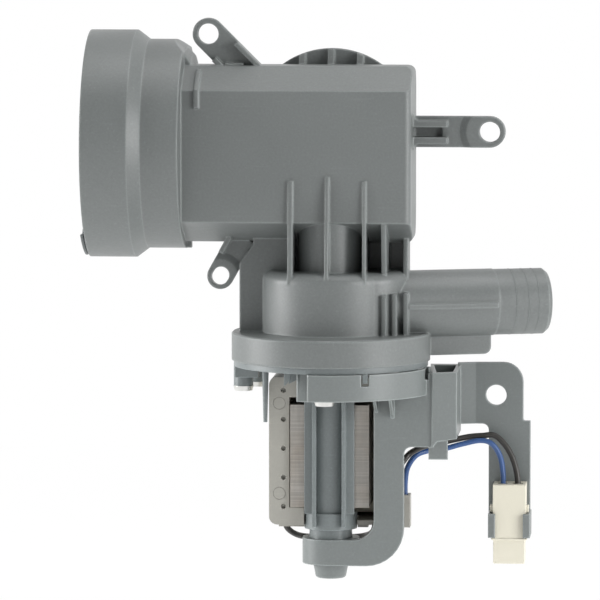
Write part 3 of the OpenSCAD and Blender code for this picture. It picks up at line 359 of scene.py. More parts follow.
def moulded_group():
    """Moulded plastic: flow mottle, fine grain, a painted highlight along edges and a few scuffs."""
    group, enter, leave = new_group(
        "Moulded surface",
        [
            ("Colour", "NodeSocketColor", (0.5, 0.5, 0.5, 1)),
            ("Mottle", "NodeSocketFloat", 0.12),
            ("Mottle scale", "NodeSocketFloat", 45.0),
            ("Grain scale", "NodeSocketFloat", 2600.0),
            ("Edge light", "NodeSocketFloat", 0.6),
            ("Edge radius", "NodeSocketFloat", 0.4 * MM),
            ("Gloss low", "NodeSocketFloat", 0.34),
            ("Gloss high", "NodeSocketFloat", 0.5),
            ("Scuffs", "NodeSocketFloat", 0.15),
            ("Fibres", "NodeSocketFloat", 0.3),
        ],
        [
            ("Colour", "NodeSocketColor"),
            ("Roughness", "NodeSocketFloat"),
            ("Height", "NodeSocketFloat"),
            ("Normal", "NodeSocketVector"),
        ],
    )
    nodes, links = group.nodes, group.links
    place = nodes.new("ShaderNodeTexCoord").outputs["Object"]
    edge = nodes.new("ShaderNodeGroup")
    edge.node_tree = bpy.data.node_groups["Soft edge"]
    links.new(enter.outputs["Edge radius"], edge.inputs["Radius"])

    flow = noise_node(nodes, links, place, enter.outputs["Mottle scale"], 4.0, 0.55)
    speck = noise_node(nodes, links, place, 1100.0, 2.0)
    grain = noise_node(nodes, links, place, enter.outputs["Grain scale"], 2.0)

    stretch = nodes.new("ShaderNodeMapping")
    stretch.inputs["Rotation"].default_value = (0.4, 0.9, 0.3)
    stretch.inputs["Scale"].default_value = (1.0, 14.0, 14.0)
    links.new(place, stretch.inputs["Vector"])
    scratch = noise_node(nodes, links, stretch.outputs["Vector"], 70.0, 2.0, 0.6)
    scratch = range_node(nodes, links, scratch, 0.63, 0.72)
    scuffs = math_node(nodes, links, "MULTIPLY", scratch, enter.outputs["Scuffs"])

    centred = math_node(nodes, links, "SUBTRACT", flow, 0.5)
    wide = math_node(nodes, links, "MULTIPLY", centred, enter.outputs["Mottle"])
    fine = math_node(nodes, links, "SUBTRACT", speck, 0.5)
    # Short glass fibres show as small pale dots
    dots = range_node(nodes, links, noise_node(nodes, links, place, 850.0, 1.0), 0.66, 0.74, high=0.4)
    fine = math_node(nodes, links, "ADD", fine, dots)
    fine = math_node(nodes, links, "MULTIPLY", fine, enter.outputs["Fibres"])
    # Painted highlight: the colour is lightened where an edge turns, by the edge mask times Edge light
    painted_edge_highlight = math_node(nodes, links, "MULTIPLY", edge.outputs["Mask"], enter.outputs["Edge light"])
    sum_low = math_node(nodes, links, "ADD", math_node(nodes, links, "ADD", wide, fine), 1.0)
    sum_edge = math_node(nodes, links, "ADD", sum_low, painted_edge_highlight)
    gain = math_node(nodes, links, "ADD", sum_edge, math_node(nodes, links, "MULTIPLY", scuffs, 0.6))

    links.new(gain_node(nodes, links, enter.outputs["Colour"], gain), leave.inputs["Colour"])

    gloss = range_node(
        nodes, links, flow, 0.3, 0.7, enter.outputs["Gloss low"], enter.outputs["Gloss high"]
    )
    links.new(math_node(nodes, links, "ADD", gloss, scuffs), leave.inputs["Roughness"])
    height = math_node(nodes, links, "ADD", math_node(nodes, links, "MULTIPLY", speck, 0.6), grain)
    links.new(height, leave.inputs["Height"])
    links.new(edge.outputs["Normal"], leave.inputs["Normal"])


def worked_metal_group():
    """Metal with drawn streaks, stains and a fine height."""
    group, enter, leave = new_group(
        "Worked metal",
        [
            ("Colour", "NodeSocketColor", (0.5, 0.5, 0.5, 1)),
            ("Stain", "NodeSocketColor", (0.3, 0.25, 0.2, 1)),
            ("Stain share", "NodeSocketFloat", 0.3),
            ("Streak scale", "NodeSocketFloat", 400.0),
            ("Gloss low", "NodeSocketFloat", 0.25),
            ("Gloss high", "NodeSocketFloat", 0.45),
        ],
        [
            ("Colour", "NodeSocketColor"),
            ("Roughness", "NodeSocketFloat"),
            ("Height", "NodeSocketFloat"),
        ],
    )
    nodes, links = group.nodes, group.links
    place = nodes.new("ShaderNodeTexCoord").outputs["Object"]
    stretch = nodes.new("ShaderNodeMapping")
    stretch.inputs["Scale"].default_value = (1.0, 1.0, 0.12)
    links.new(place, stretch.inputs["Vector"])
    streak = noise_node(nodes, links, stretch.outputs["Vector"], enter.outputs["Streak scale"], 3.0)
    patch = noise_node(nodes, links, place, 90.0, 4.0, 0.6)
    stain = range_node(nodes, links, patch, 0.45, 0.75, high=enter.outputs["Stain share"])
    mix = nodes.new("ShaderNodeMix")
    mix.data_type = "RGBA"
    links.new(stain, mix.inputs["Factor"])
    links.new(enter.outputs["Colour"], mix.inputs["A"])
    links.new(enter.outputs["Stain"], mix.inputs["B"])
    gain = math_node(nodes, links, "ADD", math_node(nodes, links, "MULTIPLY", streak, 0.4), 0.8)
    links.new(gain_node(nodes, links, mix.outputs["Result"], gain), leave.inputs["Colour"])
    gloss = range_node(
        nodes, links, streak, 0.0, 1.0, enter.outputs["Gloss low"], enter.outputs["Gloss high"]
    )
    links.new(gloss, leave.inputs["Roughness"])
    links.new(streak, leave.inputs["Height"])


# Finishes
def new_material(name):
    material = bpy.data.materials.new(name)
    material.use_nodes = True
    return material, material.node_tree.nodes, material.node_tree.links


def place_group(nodes, name, values):
    node = nodes.new("ShaderNodeGroup")
    node.node_tree = bpy.data.node_groups[name]
    for label, value in values.items():
        node.inputs[label].default_value = value
    return node


def dress(links, shader, surface, normal):
    """Feeds a finish from its surface group and its relief."""
    links.new(surface.outputs["Colour"], shader.inputs["Base Color"])
    links.new(surface.outputs["Roughness"], shader.inputs["Roughness"])
    links.new(normal, shader.inputs["Normal"])


def moulded(name, colour, bump=0.02, **values):
    """A moulded plastic, with its own values for the shared surface."""
    material, nodes, links = new_material(name)
    values = {"Colour": (*colour, 1), **{k.replace("_", " ").capitalize(): v for k, v in values.items()}}
    surface = place_group(nodes, "Moulded surface", values)
    relief = relief_node(
        nodes, links, surface.outputs["Height"], bump, 0.1 * MM, surface.outputs["Normal"]
    )
    dress(links, nodes["Principled BSDF"], surface, relief)
    return material


def metal(name, colour, stain, bump=0.05, **values):
    """A metal, with its own values for the shared working marks."""
    material, nodes, links = new_material(name)
    shader = nodes["Principled BSDF"]
    values = {k.replace("_", " ").capitalize(): v for k, v in values.items()}
    values = {"Colour": (*colour, 1), "Stain": (*stain, 1), **values}
    surface = place_group(nodes, "Worked metal", values)
    edge = place_group(nodes, "Soft edge", {"Radius": 0.2 * MM})
    relief = relief_node(
        nodes, links, surface.outputs["Height"], bump, 0.05 * MM, edge.outputs["Normal"]
    )
    dress(links, shader, surface, relief)
    shader.inputs["Metallic"].default_value = 1.0
    return material


def lamination_finish():
    """Cut sheet edges: each sheet a little lighter or darker, with faint upright streaks."""
    material, nodes, links = new_material("lamination_edges")
    shader = nodes["Principled BSDF"]
    place = nodes.new("ShaderNodeTexCoord").outputs["Object"]
    apart = nodes.new("ShaderNodeSeparateXYZ")
    links.new(place, apart.inputs["Vector"])
    sheet = math_node(nodes, links, "FLOOR", math_node(
        nodes, links, "DIVIDE", apart.outputs["Z"], sizes().sheet_pitch))
    white = nodes.new("ShaderNodeTexWhiteNoise")
    white.noise_dimensions = "1D"
    links.new(sheet, white.inputs["W"])
    surface = place_group(nodes, "Worked metal", {
        "Colour": (*colours().steel, 1),
        "Stain": (0.34, 0.27, 0.2, 1),
        "Stain share": 0.35,
        "Streak scale": 900.0,
        "Gloss low": 0.42,
        "Gloss high": 0.62,
    })
    gain = math_node(nodes, links, "ADD", math_node(
        nodes, links, "MULTIPLY", white.outputs["Value"], 0.22), 0.86)
    relief = relief_node(nodes, links, surface.outputs["Height"], 0.08, 0.05 * MM)
    dress(links, shader, surface, relief)
    # Each sheet has its own tone
    links.new(gain_node(nodes, links, surface.outputs["Colour"], gain), shader.inputs["Base Color"])
    shader.inputs["Metallic"].default_value = 0.55
    return material


def lead_finish(name, colour):
    """Soft insulation: slightly waxy, with dust in a fine grain."""
    material, nodes, links = new_material(name)
    surface = place_group(nodes, "Moulded surface", {
        "Colour": (*colour, 1),
        "Mottle": 0.3,
        "Mottle scale": 160.0,
        "Grain scale": 3000.0,
        "Edge light": 0.0,
        "Gloss low": 0.32,
        "Gloss high": 0.46,
        "Scuffs": 0.1,
        "Fibres": 0.1,
    })
    relief = relief_node(nodes, links, surface.outputs["Height"], 0.05, 0.1 * MM)
    dress(links, nodes["Principled BSDF"], surface, relief)
    return material


def winding_finish():
    """Enamelled copper wire laid in turns."""
    material, nodes, links = new_material("enamelled_copper")
    shader = nodes["Principled BSDF"]
    place = nodes.new("ShaderNodeTexCoord").outputs["Object"]
    turns = nodes.new("ShaderNodeTexWave")
    turns.bands_direction = "Y"
    turns.inputs["Scale"].default_value = 900.0
    turns.inputs["Distortion"].default_value = 0.6
    links.new(place, turns.inputs["Vector"])
    shade = nodes.new("ShaderNodeMix")
    shade.data_type = "RGBA"
    links.new(turns.outputs["Fac"], shade.inputs["Factor"])
    shade.inputs["A"].default_value = (0.2, 0.06, 0.02, 1)
    shade.inputs["B"].default_value = (*colours().copper, 1)
    relief = relief_node(nodes, links, turns.outputs["Fac"], 1.0, 0.2 * MM)
    links.new(shade.outputs["Result"], shader.inputs["Base Color"])
    links.new(relief, shader.inputs["Normal"])
    shader.inputs["Metallic"].default_value = 0.8
    shader.inputs["Roughness"].default_value = 0.3
    return material


def make_finishes():
    """All finishes, by the name of the record's material slot."""
    soft_edge_group()
    moulded_group()
    worked_metal_group()
    tint = colours()
    return {
        "housing_plastic": moulded(
            "housing_plastic", tint.housing, bump=0.05, edge_radius=1.2 * MM, edge_light=0.75),
        "can_plastic": moulded(
            "can_plastic", tint.can, bump=0.03, gloss_low=0.28, gloss_high=0.4, edge_light=0.9),
        "bracket_plastic": moulded(
            "bracket_plastic", tint.bracket, bump=0.035, mottle=0.08, edge_radius=0.9 * MM,
            edge_light=1.1, gloss_low=0.3, gloss_high=0.42, scuffs=0.1, fibres=0.2),
        "cover_plastic": moulded(
            "cover_plastic", tint.cover, bump=0.05, mottle=0.08, edge_light=0.15, fibres=0.1),
        "filter_plastic": moulded("filter_plastic", tint.cap, bump=0.05),
        "connector_plastic": moulded(
            "connector_plastic", tint.connector, mottle=0.04, edge_light=0.05,
            edge_radius=0.25 * MM, scuffs=0.03, fibres=0.04),
        "sleeve_plastic": moulded(
            "sleeve_plastic", tint.natural, mottle=0.05, edge_light=0.05, fibres=0.05),
        "impeller_plastic": moulded("impeller_plastic", tint.impeller),
        "seal_rubber": moulded("seal_rubber", tint.rubber, gloss_low=0.5, gloss_high=0.7),
        "lead_black": lead_finish("lead_black", tint.black_lead),
        "lead_blue": lead_finish("lead_blue", tint.blue_lead),
        "lamination_steel": lamination_finish(),
        "winding_copper": winding_finish(),
        "shaft_steel": metal("shaft_steel", tint.shaft, (0.5, 0.48, 0.44), stain_share=0.1),
        "screw_steel": metal("screw_steel", tint.zinc, (0.5, 0.5, 0.42), stain_share=0.25),
        "bearing_bronze": metal(
            "bearing_bronze", tint.bronze, (0.2, 0.12, 0.07), gloss_low=0.45, gloss_high=0.6),
        "contact_metal": metal("contact_metal", tint.contacts, (0.4, 0.35, 0.25)),
        "magnet": metal("magnet", tint.ferrite, (0.02, 0.02, 0.02), gloss_low=0.4, gloss_high=0.55),
    }


FINISHES = {}


def slot_of(node):
    for entry in frame["record"]["subparts"]:
        if entry["node"] == node:
            return entry["material_slot"]
    raise RuntimeError(f"the record has no slot for {node}")


def body_of(node):
    for body, members in frame["record"]["behaviour"]["bodies"].items():
        if node in members:
            return body
    raise RuntimeError(f"no body holds {node}")


def finish_node(*nodes):
    """Gives carried-over solids the finish of their slot."""
    for node in nodes:
        mesh = frame["nodes"][node].data
        mesh.materials.clear()
        mesh.materials.append(FINISHES[slot_of(node)])


# Shapes
def add_piece(name, bm, slot, body, *replaced):
    """Makes an object at the origin from a bmesh, rides it and gives it a finish."""
    mesh = bpy.data.meshes.new(name)
    bm.to_mesh(mesh)
    bm.free()
    piece = bpy.data.objects.new(name, mesh)
    bpy.context.scene.collection.objects.link(piece)
    mesh.materials.append(FINISHES[slot])
    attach(piece, body)
    if replaced:
        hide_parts(*replaced)
    return piece


def smooth_by_angle(piece, degrees=32):
    piece.data.shade_smooth()
    piece.data.set_sharp_from_angle(angle=math.radians(degrees))


def merged(nodes, cuts=(), keep_normals=False):
    """The solids' surfaces as one bmesh, joined where they meet in the cut planes."""
    bm = bmesh.new()
    for node in nodes:
        start = len(bm.faces)
        bm.from_mesh(frame["nodes"][node].data)
        if keep_normals:
            note_normals(bm, start, frame["nodes"][node].data)
    bmesh.ops.remove_doubles(bm, verts=bm.verts, dist=SAME_POINT)
    for point, normal in cuts:
        inner = [
            f for f in bm.faces
            if abs((f.calc_center_median() - point).dot(normal)) < IN_PLANE
            and abs(f.normal.dot(normal)) > 0.999
        ]
        bmesh.ops.delete(bm, geom=inner, context="FACES")
    if cuts:
        bmesh.ops.remove_doubles(bm, verts=bm.verts, dist=SAME_CUT_POINT)
    return bm


def note_normals(bm, start, mesh):
    """Writes a solid's own normals at the corners of the faces that came from it."""
    layers = bm.loops.layers.float_vector
    layer = layers.get("cad_normal") or layers.new("cad_normal")
    bm.faces.ensure_lookup_table()
    for polygon, face in zip(mesh.polygons, bm.faces[start:]):
        for corner, loop in zip(polygon.loop_indices, face.loops):
            loop[layer] = mesh.corner_normals[corner].vector


def keep_cad_normals(mesh):
    """Shades a merged copy with the normals that the solids had."""
    noted = mesh.attributes["cad_normal"]
    normals = [Vector(value.vector) for value in noted.data]
    mesh.shade_smooth()
    mesh.normals_split_custom_set(normals)
    mesh.attributes.remove(mesh.attributes["cad_normal"])


def join_flat_faces(bm, degrees):
    bmesh.ops.dissolve_limit(
        bm, angle_limit=math.radians(degrees), verts=bm.verts, edges=bm.edges, delimit={"NORMAL"}
    )


def weigh_normals(piece):
    """Lets broad flat faces set the normals at their edges with fillets."""
    weights = piece.modifiers.new("flat faces", "WEIGHTED_NORMAL")
    weights.keep_sharp = True
    weights.weight = 90


def soften(piece, width):
    """A small live bevel on the sharp edges."""
    bevel = piece.modifiers.new("edge round", "BEVEL")
    bevel.width = width
    bevel.segments = 2
    bevel.limit_method = "ANGLE"
    bevel.angle_limit = math.radians(40)
    bevel.use_clamp_overlap = False
    bevel.miter_outer = "MITER_ARC"


def moulding(name, nodes, bevel=None, cuts=()):
    """One visible moulding in place of solids of the frame, bevelled where a width is given."""
    bm = merged(nodes, cuts, keep_normals=not bevel)
    if bevel:
        join_flat_faces(bm, 0.3)
    piece = add_piece(name, bm, slot_of(nodes[0]), body_of(nodes[0]), *nodes)
    if bevel:
        smooth_by_angle(piece)
        soften(piece, bevel)
        weigh_normals(piece)
    else:
        keep_cad_normals(piece.data)


def spline_points(route, steps):
    """Points of a smooth line through a route, as the part's source draws it."""
    points = [Vector(p) * MM for p in route]
    last = len(points) - 1
    line = []
    for i in range(last):
        p0, p1 = points[max(i - 1, 0)], points[i]
        p2, p3 = points[i + 1], points[min(i + 2, last)]
        for k in range(steps):
            t = k / steps
            line.append(0.5 * (
                2 * p1 + (p2 - p0) * t + (2 * p0 - 5 * p1 + 4 * p2 - p3) * t * t
                + (3 * p1 - p0 - 3 * p2 + p3) * t * t * t
            ))
    line.append(points[last])
    return line


def round_lead(name, node, route, diameter):
    """A round insulated lead along a route, made a mesh before it is placed."""
    line = spline_points(route, sizes().lead_steps)
    curve = bpy.data.curves.new(name + "_line", "CURVE")
    curve.dimensions = "3D"
    curve.bevel_depth = diameter / 2
    curve.bevel_resolution = 4
    curve.use_fill_caps = True
    spline = curve.splines.new("POLY")
    spline.points.add(len(line) - 1)
    for point, place in zip(spline.points, line):
        point.co = (*place, 1)
    helper = bpy.data.objects.new(name + "_line", curve)
    bpy.context.scene.collection.objects.link(helper)
    bpy.context.view_layer.update()
    bm = bmesh.new()
    bm.from_mesh(helper.evaluated_get(bpy.context.evaluated_depsgraph_get()).to_mesh())
    bpy.data.objects.remove(helper)
    bmesh.ops.remove_doubles(bm, verts=bm.verts, dist=SAME_POINT)
    bmesh.ops.recalc_face_normals(bm, faces=bm.faces)
    piece = add_piece(name, bm, slot_of(node), body_of(node), node)
    smooth_by_angle(piece, 50)


class PUMP_OT_stage(bpy.types.Operator):
    """Set up the camera, the pale floor, the soft lamps and the background"""

    bl_idname = "pump.stage"
    bl_label = "Stage"

    def execute(self, context):
        self.add_camera(context)
        self.add_floor(context)
        self.add_lamps(context)
        self.add_background(context)
        context.scene.view_settings.view_transform = "Standard"
        return {"FINISHED"}

    def add_camera(self, context):
        size = sizes()
        turn, rise = size.camera_turn, size.camera_rise
        ahead = Vector((
            -math.sin(turn) * math.cos(rise), math.cos(turn) * math.cos(rise), -math.sin(rise)
        ))
        aim = Vector((PICTURE_X * math.cos(turn), PICTURE_X * math.sin(turn), PICTURE_Z))
        lens = bpy.data.cameras.new("camera")
        lens.lens = LENS_MM
        lens.sensor_width = SENSOR_MM
        lens.clip_end = FAR_CLIP
        camera = bpy.data.objects.new("camera", lens)
        camera.location = aim - ahead * size.camera_distance
        camera.rotation_euler = ahead.to_track_quat("-Z", "Y").to_euler()
        context.scene.collection.objects.link(camera)
        context.scene.camera = camera

    def add_floor(self, context):
        bm = bmesh.new()
        bmesh.ops.create_grid(bm, x_segments=1, y_segments=1, size=FLOOR_SIZE)
        low = CAD_BOX[0].z - sizes().floor_drop
        bmesh.ops.translate(bm, verts=bm.verts, vec=(0, 0, low))
        mesh = bpy.data.meshes.new("floor")
        bm.to_mesh(mesh)
        bm.free()
        floor = bpy.data.objects.new("floor", mesh)
        context.scene.collection.objects.link(floor)
        mesh.materials.append(self.floor_finish())

    def floor_finish(self):
        material, nodes, links = new_material("pale_floor")
        shader = nodes["Principled BSDF"]
        shader.inputs["Roughness"].default_value = 0.9
        shader.inputs["Specular IOR Level"].default_value = 0.1
        place = nodes.new("ShaderNodeTexCoord").outputs["Object"]
        grain = noise_node(nodes, links, place, 30.0)
        links.new(range_node(nodes, links, grain, 0.0, 1.0, 0.88, 0.92), shader.inputs["Base Color"])
        path = nodes.new("ShaderNodeLightPath")
        # Near the pump the floor keeps the shadow, farther off it is plain white
        seen = math_node(nodes, links, "MAXIMUM", path.outputs["Is Camera Ray"],
                         path.outputs["Is Glossy Ray"])
        seen = math_node(nodes, links, "MAXIMUM", seen, path.outputs["Is Transmission Ray"])
        reach = nodes.new("ShaderNodeVectorMath")
        reach.operation = "LENGTH"
        links.new(place, reach.inputs[0])
        far = range_node(nodes, links, reach.outputs["Value"], 0.15, 0.7, 0.88, 1.0)
        share = math_node(nodes, links, "MULTIPLY", seen, far)
        glow = nodes.new("ShaderNodeEmission")
        # The floor lights the pump from below and behind, as a white tent does
        apart = nodes.new("ShaderNodeSeparateXYZ")
        links.new(place, apart.inputs["Vector"])
        behind = range_node(nodes, links, apart.outputs["Y"], -0.5, 0.05, 0.05, 0.8)
        unseen = math_node(nodes, links, "SUBTRACT", 1.0, path.outputs["Is Camera Ray"])
        soft_glow = nodes.new("ShaderNodeEmission")
        links.new(math_node(nodes, links, "MULTIPLY", unseen, behind), soft_glow.inputs["Strength"])
        lit = nodes.new("ShaderNodeAddShader")
        links.new(shader.outputs["BSDF"], lit.inputs[0])
        links.new(soft_glow.outputs["Emission"], lit.inputs[1])
        mix = nodes.new("ShaderNodeMixShader")
        links.new(share, mix.inputs["Fac"])
        links.new(lit.outputs["Shader"], mix.inputs[1])
        links.new(glow.outputs["Emission"], mix.inputs[2])
        links.new(mix.outputs["Shader"], nodes["Material Output"].inputs["Surface"])
        return material

    def add_lamps(self, context):
        aim = Vector((0, 0, 0.03))
        lamps = (
            ("top_softbox", (0.25, -0.1, 1.6), 1.2, 15),
            ("left_softbox", (-1.8, -0.15, 0.22), 1.0, 41),
            ("right_softbox", (1.6, -0.9, 0.3), 1.0, 28),
        )
        for name, place, width, power in lamps:
            light = bpy.data.lights.new(name, "AREA")
            light.size = width
            light.energy = power
            lamp = bpy.data.objects.new(name, light)
            lamp.location = place
            lamp.rotation_euler = (aim - Vector(place)).to_track_quat("-Z", "Y").to_euler()
            lamp.visible_camera = False
            context.scene.collection.objects.link(lamp)

    def add_background(self, context):
        world = bpy.data.worlds.new("studio")
        world.use_nodes = True
        context.scene.world = world
        nodes, links = world.node_tree.nodes, world.node_tree.links
        background = nodes["Background"]
        background.inputs["Color"].default_value = (1, 1, 1, 1)
        path = nodes.new("ShaderNodeLightPath")
        seen = math_node(nodes, links, "MAXIMUM", path.outputs["Is Camera Ray"],
                         path.outputs["Is Transmission Ray"])
        # A white tent that is open, and so darker, towards the camera
        apart = nodes.new("ShaderNodeSeparateXYZ")
        links.new(nodes.new("ShaderNodeTexCoord").outputs["Generated"], apart.inputs["Vector"])
        back = self.mixed(nodes, links, path.outputs["Is Glossy Ray"], 0.62, 1.0)
        tent = range_node(nodes, links, apart.outputs["Y"], -0.95, 0.6, 0.17, back)
        links.new(self.mixed(nodes, links, seen, tent, 1.0), background.inputs["Strength"])

    def mixed(self, nodes, links, factor, first, second):
        node = nodes.new("ShaderNodeMix")
        links.new(factor, node.inputs["Factor"])
        feed(links, node.inputs["A"], first)
        feed(links, node.inputs["B"], second)
        return node.outputs["Result"]


class PUMP_OT_leads(bpy.types.Operator):
    """Draw the two leads from the coils through the duct to the connector"""

    bl_idname = "pump.leads"
    bl_label = "Leads"

    def execute(self, context):
        for name, node, route, diameter in (
            ("black_lead", "wire_black", BLACK_ROUTE, sizes().black_lead),
            ("blue_lead", "wire_blue", BLUE_ROUTE, sizes().blue_lead),
        ):
            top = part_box("contacts")[1].z / MM
            end = (route[-1][0], route[-1][1], top)
            round_lead(name, node, (*route, end), diameter)
        return {"FINISHED"}


class PUMP_OT_housing(bpy.types.Operator):
    """Join the housing's solids into the one moulding that they are"""

    bl_idname = "pump.housing"
    bl_label = "Pump housing"

    def execute(self, context):
        outlet_axis = Matrix.Rotation(OUTLET_TURN, 3, "Z") @ Vector((1, 0, 0))
        outlet_low = min(
            (v.co - OUTLET_START).dot(outlet_axis)
            for v in frame["nodes"]["outlet_spigot"].data.vertices
        )
        cuts = (
            (Vector((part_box("filter_collar")[1].x, 0, 0)), Vector((1, 0, 0))),
            (Vector((0, 0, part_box("chamber_front")[0].z)), Vector((0, 0, 1))),
            (Vector((0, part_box("chamber_rear")[0].y, 0)), Vector((0, 1, 0))),
            (Vector((0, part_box("inlet_spigot")[0].y, 0)), Vector((0, 1, 0))),
            (OUTLET_START + outlet_axis * outlet_low, outlet_axis),
        )
        moulding("housing_moulding", HOUSING_NODES, cuts=cuts)
        return {"FINISHED"}


class PUMP_OT_filter(bpy.types.Operator):
    """Finish the filter cap, its ring and the basket"""

    bl_idname = "pump.filter"
    bl_label = "Filter"

    def execute(self, context):
        moulding("filter_cap_moulding", ("filter_cap",), sizes().edge_round)
        finish_node("filter_basket", "filter_seal")
        return {"FINISHED"}


class PUMP_OT_rotor(bpy.types.Operator):
    """Finish the turning parts, the bearings and the seals"""

    bl_idname = "pump.rotor"
    bl_label = "Rotor and bearings"

    def execute(self, context):
        finish_node(
            "impeller", "rotor_shaft", "rotor_magnet", "rotor_sleeve", "thrust_washer",
            "bearing_carrier", "shaft_seal", "front_bearing", "rear_bearing", "volute_seal",
        )
        return {"FINISHED"}


class PUMP_OT_rotor_housing(bpy.types.Operator):
    """Finish the flange with the long rotor can"""

    bl_idname = "pump.rotor_housing"
    bl_label = "Rotor housing"

    def execute(self, context):
        moulding("rotor_can_moulding", ("rotor_housing",))
        return {"FINISHED"}


class PUMP_OT_stator(bpy.types.Operator):
    """Stack the stator's sheets and finish the coils"""

    bl_idname = "pump.stator"
    bl_label = "Stator"

    def execute(self, context):
        size = sizes()
        low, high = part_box("stator_core")
        count = round((high.z - low.z) / size.sheet_pitch)
        pitch = (high.z - low.z) / count
        bm = merged(("stator_core",))
        join_flat_faces(bm, 0.4)
        upper = [
            f for f in bm.faces
            if f.normal.z > -0.9 or f.calc_center_median().z > low.z + 0.1 * MM
        ]
        bmesh.ops.delete(bm, geom=upper, context="FACES")
        # The sheet's outline, turned up, given its thickness and repeated
        grown = bmesh.ops.extrude_face_region(bm, geom=bm.faces[:])
        raised = [e for e in grown["geom"] if isinstance(e, bmesh.types.BMVert)]
        bmesh.ops.translate(bm, verts=raised, vec=(0, 0, pitch - size.sheet_gap))
        bmesh.ops.recalc_face_normals(bm, faces=bm.faces)
        first = bm.verts[:] + bm.edges[:] + bm.faces[:]
        for i in range(1, count):
            copy = bmesh.ops.duplicate(bm, geom=first)
            verts = [e for e in copy["geom"] if isinstance(e, bmesh.types.BMVert)]
            bmesh.ops.translate(bm, verts=verts, vec=(0, 0, pitch * i))
        add_piece("stator_sheets", bm, "lamination_steel", body_of("stator_core"), "stator_core")
        finish_node("bobbin_left", "bobbin_right", "winding_left", "winding_right", "coil_terminals")
        return {"FINISHED"}


class PUMP_OT_coil_cover(bpy.types.Operator):
    """Finish the two halves of the coil cover, with the ejector marks"""

    bl_idname = "pump.coil_cover"
    bl_label = "Coil cover"

    def execute(self, context):
        moulding("coil_cover_front_moulding", ("coil_cover_front",))
        moulding("coil_cover_rear_moulding", ("coil_cover_rear",), sizes().edge_round)
        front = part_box("coil_cover_front")[0].y
        bm = bmesh.new()
        for x, z in MARK_CENTRES:
            self.add_mark(bm, Vector((x * MM, front, z * MM)))
        marks = add_piece("ejector_marks", bm, "cover_plastic", body_of("coil_cover_front"))
        # The rings take the cover colour darkened to 0.8, as painted shade of their fine edges
        marks.data.materials[0] = moulded(
            "cover_mark_painted_shade", [part * 0.8 for part in colours().cover], mottle=0.08, edge_light=0.0
        )
        return {"FINISHED"}

    def add_mark(self, bm, centre):
        """A fine raised ring on the cover's front face."""
        width, height = 0.26 * MM, 0.05 * MM
        ring = bmesh.ops.create_circle(bm, segments=48, radius=sizes().mark_r)
        edges = list({e for v in ring["verts"] for e in v.link_edges})
        wider = bmesh.ops.extrude_edge_only(bm, edges=edges)
        outer = [e for e in wider["geom"] if isinstance(e, bmesh.types.BMVert)]
        bmesh.ops.scale(bm, verts=outer, vec=[1 + width / sizes().mark_r] * 3)
        flat = [e for e in wider["geom"] if isinstance(e, bmesh.types.BMFace)]
        thick = bmesh.ops.extrude_face_region(bm, geom=flat)
        top = [e for e in thick["geom"] if isinstance(e, bmesh.types.BMVert)]
        bmesh.ops.translate(bm, verts=top, vec=(0, 0, height))
        verts = ring["verts"] + outer + top
        bmesh.ops.rotate(bm, verts=verts, matrix=Matrix.Rotation(math.pi / 2, 3, "X"))
        bmesh.ops.translate(bm, verts=verts, vec=centre)
        bmesh.ops.recalc_face_normals(bm, faces=bm.faces)


class PUMP_OT_bracket(bpy.types.Operator):
    """Finish the motor bracket"""

    bl_idname = "pump.bracket"
    bl_label = "Motor bracket"

    def execute(self, context):
        moulding("bracket_moulding", ("motor_bracket",))
        return {"FINISHED"}


class PUMP_OT_connector(bpy.types.Operator):
    """Finish the connector and its contacts"""

    bl_idname = "pump.connector"
    bl_label = "Connector"

    def execute(self, context):
        moulding("connector_moulding", ("connector",), sizes().fine_edge_round)
        finish_node("contacts")
        return {"FINISHED"}


class PUMP_OT_screws(bpy.types.Operator):
    """Finish the screws under the flange"""

    bl_idname = "pump.screws"
    bl_label = "Screws"

    def execute(self, context):
        finish_node("flange_screws")
        return {"FINISHED"}


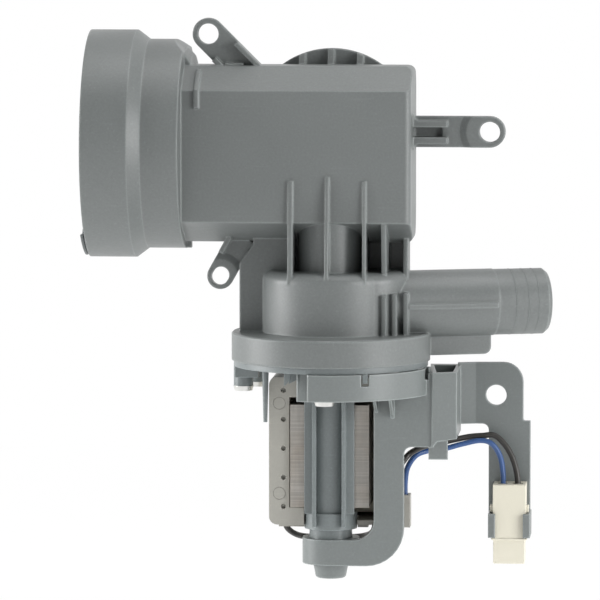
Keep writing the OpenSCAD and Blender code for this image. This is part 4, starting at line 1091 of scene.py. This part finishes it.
class PUMP_OT_spigot_lines(bpy.types.Operator):
    """Add the fine mould lines round the outlet spigot"""

    bl_idname = "pump.spigot_lines"
    bl_label = "Spigot lines"

    def execute(self, context):
        height = sizes().line_h
        outer, under = SPIGOT_R + height, SPIGOT_R - height
        bm = bmesh.new()
        for along in LINES_ALONG:
            ring = bmesh.ops.create_cone(
                bm, cap_ends=False, segments=96, radius1=outer, radius2=outer, depth=2 * LINE_HALF
            )
            bmesh.ops.translate(bm, verts=ring["verts"], vec=(0, 0, along))
        # Its edges are drawn in to the spigot's surface, so that each line closes on it
        rims = [e for e in bm.edges if e.is_boundary]
        drawn = bmesh.ops.extrude_edge_only(bm, edges=rims)
        inner = [e for e in drawn["geom"] if isinstance(e, bmesh.types.BMVert)]
        bmesh.ops.scale(bm, verts=inner, vec=(under / outer, under / outer, 1))
        bmesh.ops.rotate(bm, verts=bm.verts, matrix=Matrix.Rotation(math.pi / 2, 3, "Y"))
        bmesh.ops.rotate(bm, verts=bm.verts, matrix=Matrix.Rotation(OUTLET_TURN, 3, "Z"))
        bmesh.ops.translate(bm, verts=bm.verts, vec=OUTLET_START)
        bmesh.ops.recalc_face_normals(bm, faces=bm.faces)
        piece = add_piece("spigot_lines", bm, "housing_plastic", body_of("outlet_spigot"))
        smooth_by_angle(piece)
        return {"FINISHED"}


OPERATORS = (
    PUMP_OT_stage,
    PUMP_OT_leads,
    PUMP_OT_housing,
    PUMP_OT_filter,
    PUMP_OT_rotor,
    PUMP_OT_rotor_housing,
    PUMP_OT_stator,
    PUMP_OT_coil_cover,
    PUMP_OT_bracket,
    PUMP_OT_connector,
    PUMP_OT_screws,
    PUMP_OT_spigot_lines,
)


class PUMP_PT_panel(bpy.types.Panel):
    """Lists the pump's sizes, colours and pieces"""

    bl_idname = "PUMP_PT_panel"
    bl_label = "Drain pump"
    bl_space_type = "VIEW_3D"
    bl_region_type = "UI"
    bl_category = "Drain pump"

    def draw(self, context):
        for group in (context.scene.pump_sizes, context.scene.pump_colours):
            column = self.layout.column()
            for name in group.__annotations__:
                column.prop(group, name)
        for operator in OPERATORS:
            self.layout.operator(operator.bl_idname)


CLASSES = (PumpSizes, PumpColours, *OPERATORS, PUMP_PT_panel)


def register():
    for item in CLASSES:
        bpy.utils.register_class(item)
    bpy.types.Scene.pump_sizes = PointerProperty(type=PumpSizes)
    bpy.types.Scene.pump_colours = PointerProperty(type=PumpColours)


def unregister():
    del bpy.types.Scene.pump_colours
    del bpy.types.Scene.pump_sizes
    for item in reversed(CLASSES):
        bpy.utils.unregister_class(item)


def main():
    register()
    FINISHES.update(make_finishes())
    bpy.ops.pump.stage()
    bpy.ops.pump.leads()
    bpy.ops.pump.housing()
    bpy.ops.pump.filter()
    bpy.ops.pump.rotor()
    bpy.ops.pump.rotor_housing()
    bpy.ops.pump.stator()
    bpy.ops.pump.coil_cover()
    bpy.ops.pump.bracket()
    bpy.ops.pump.connector()
    bpy.ops.pump.screws()
    bpy.ops.pump.spigot_lines()


if __name__ == "__main__":
    main()
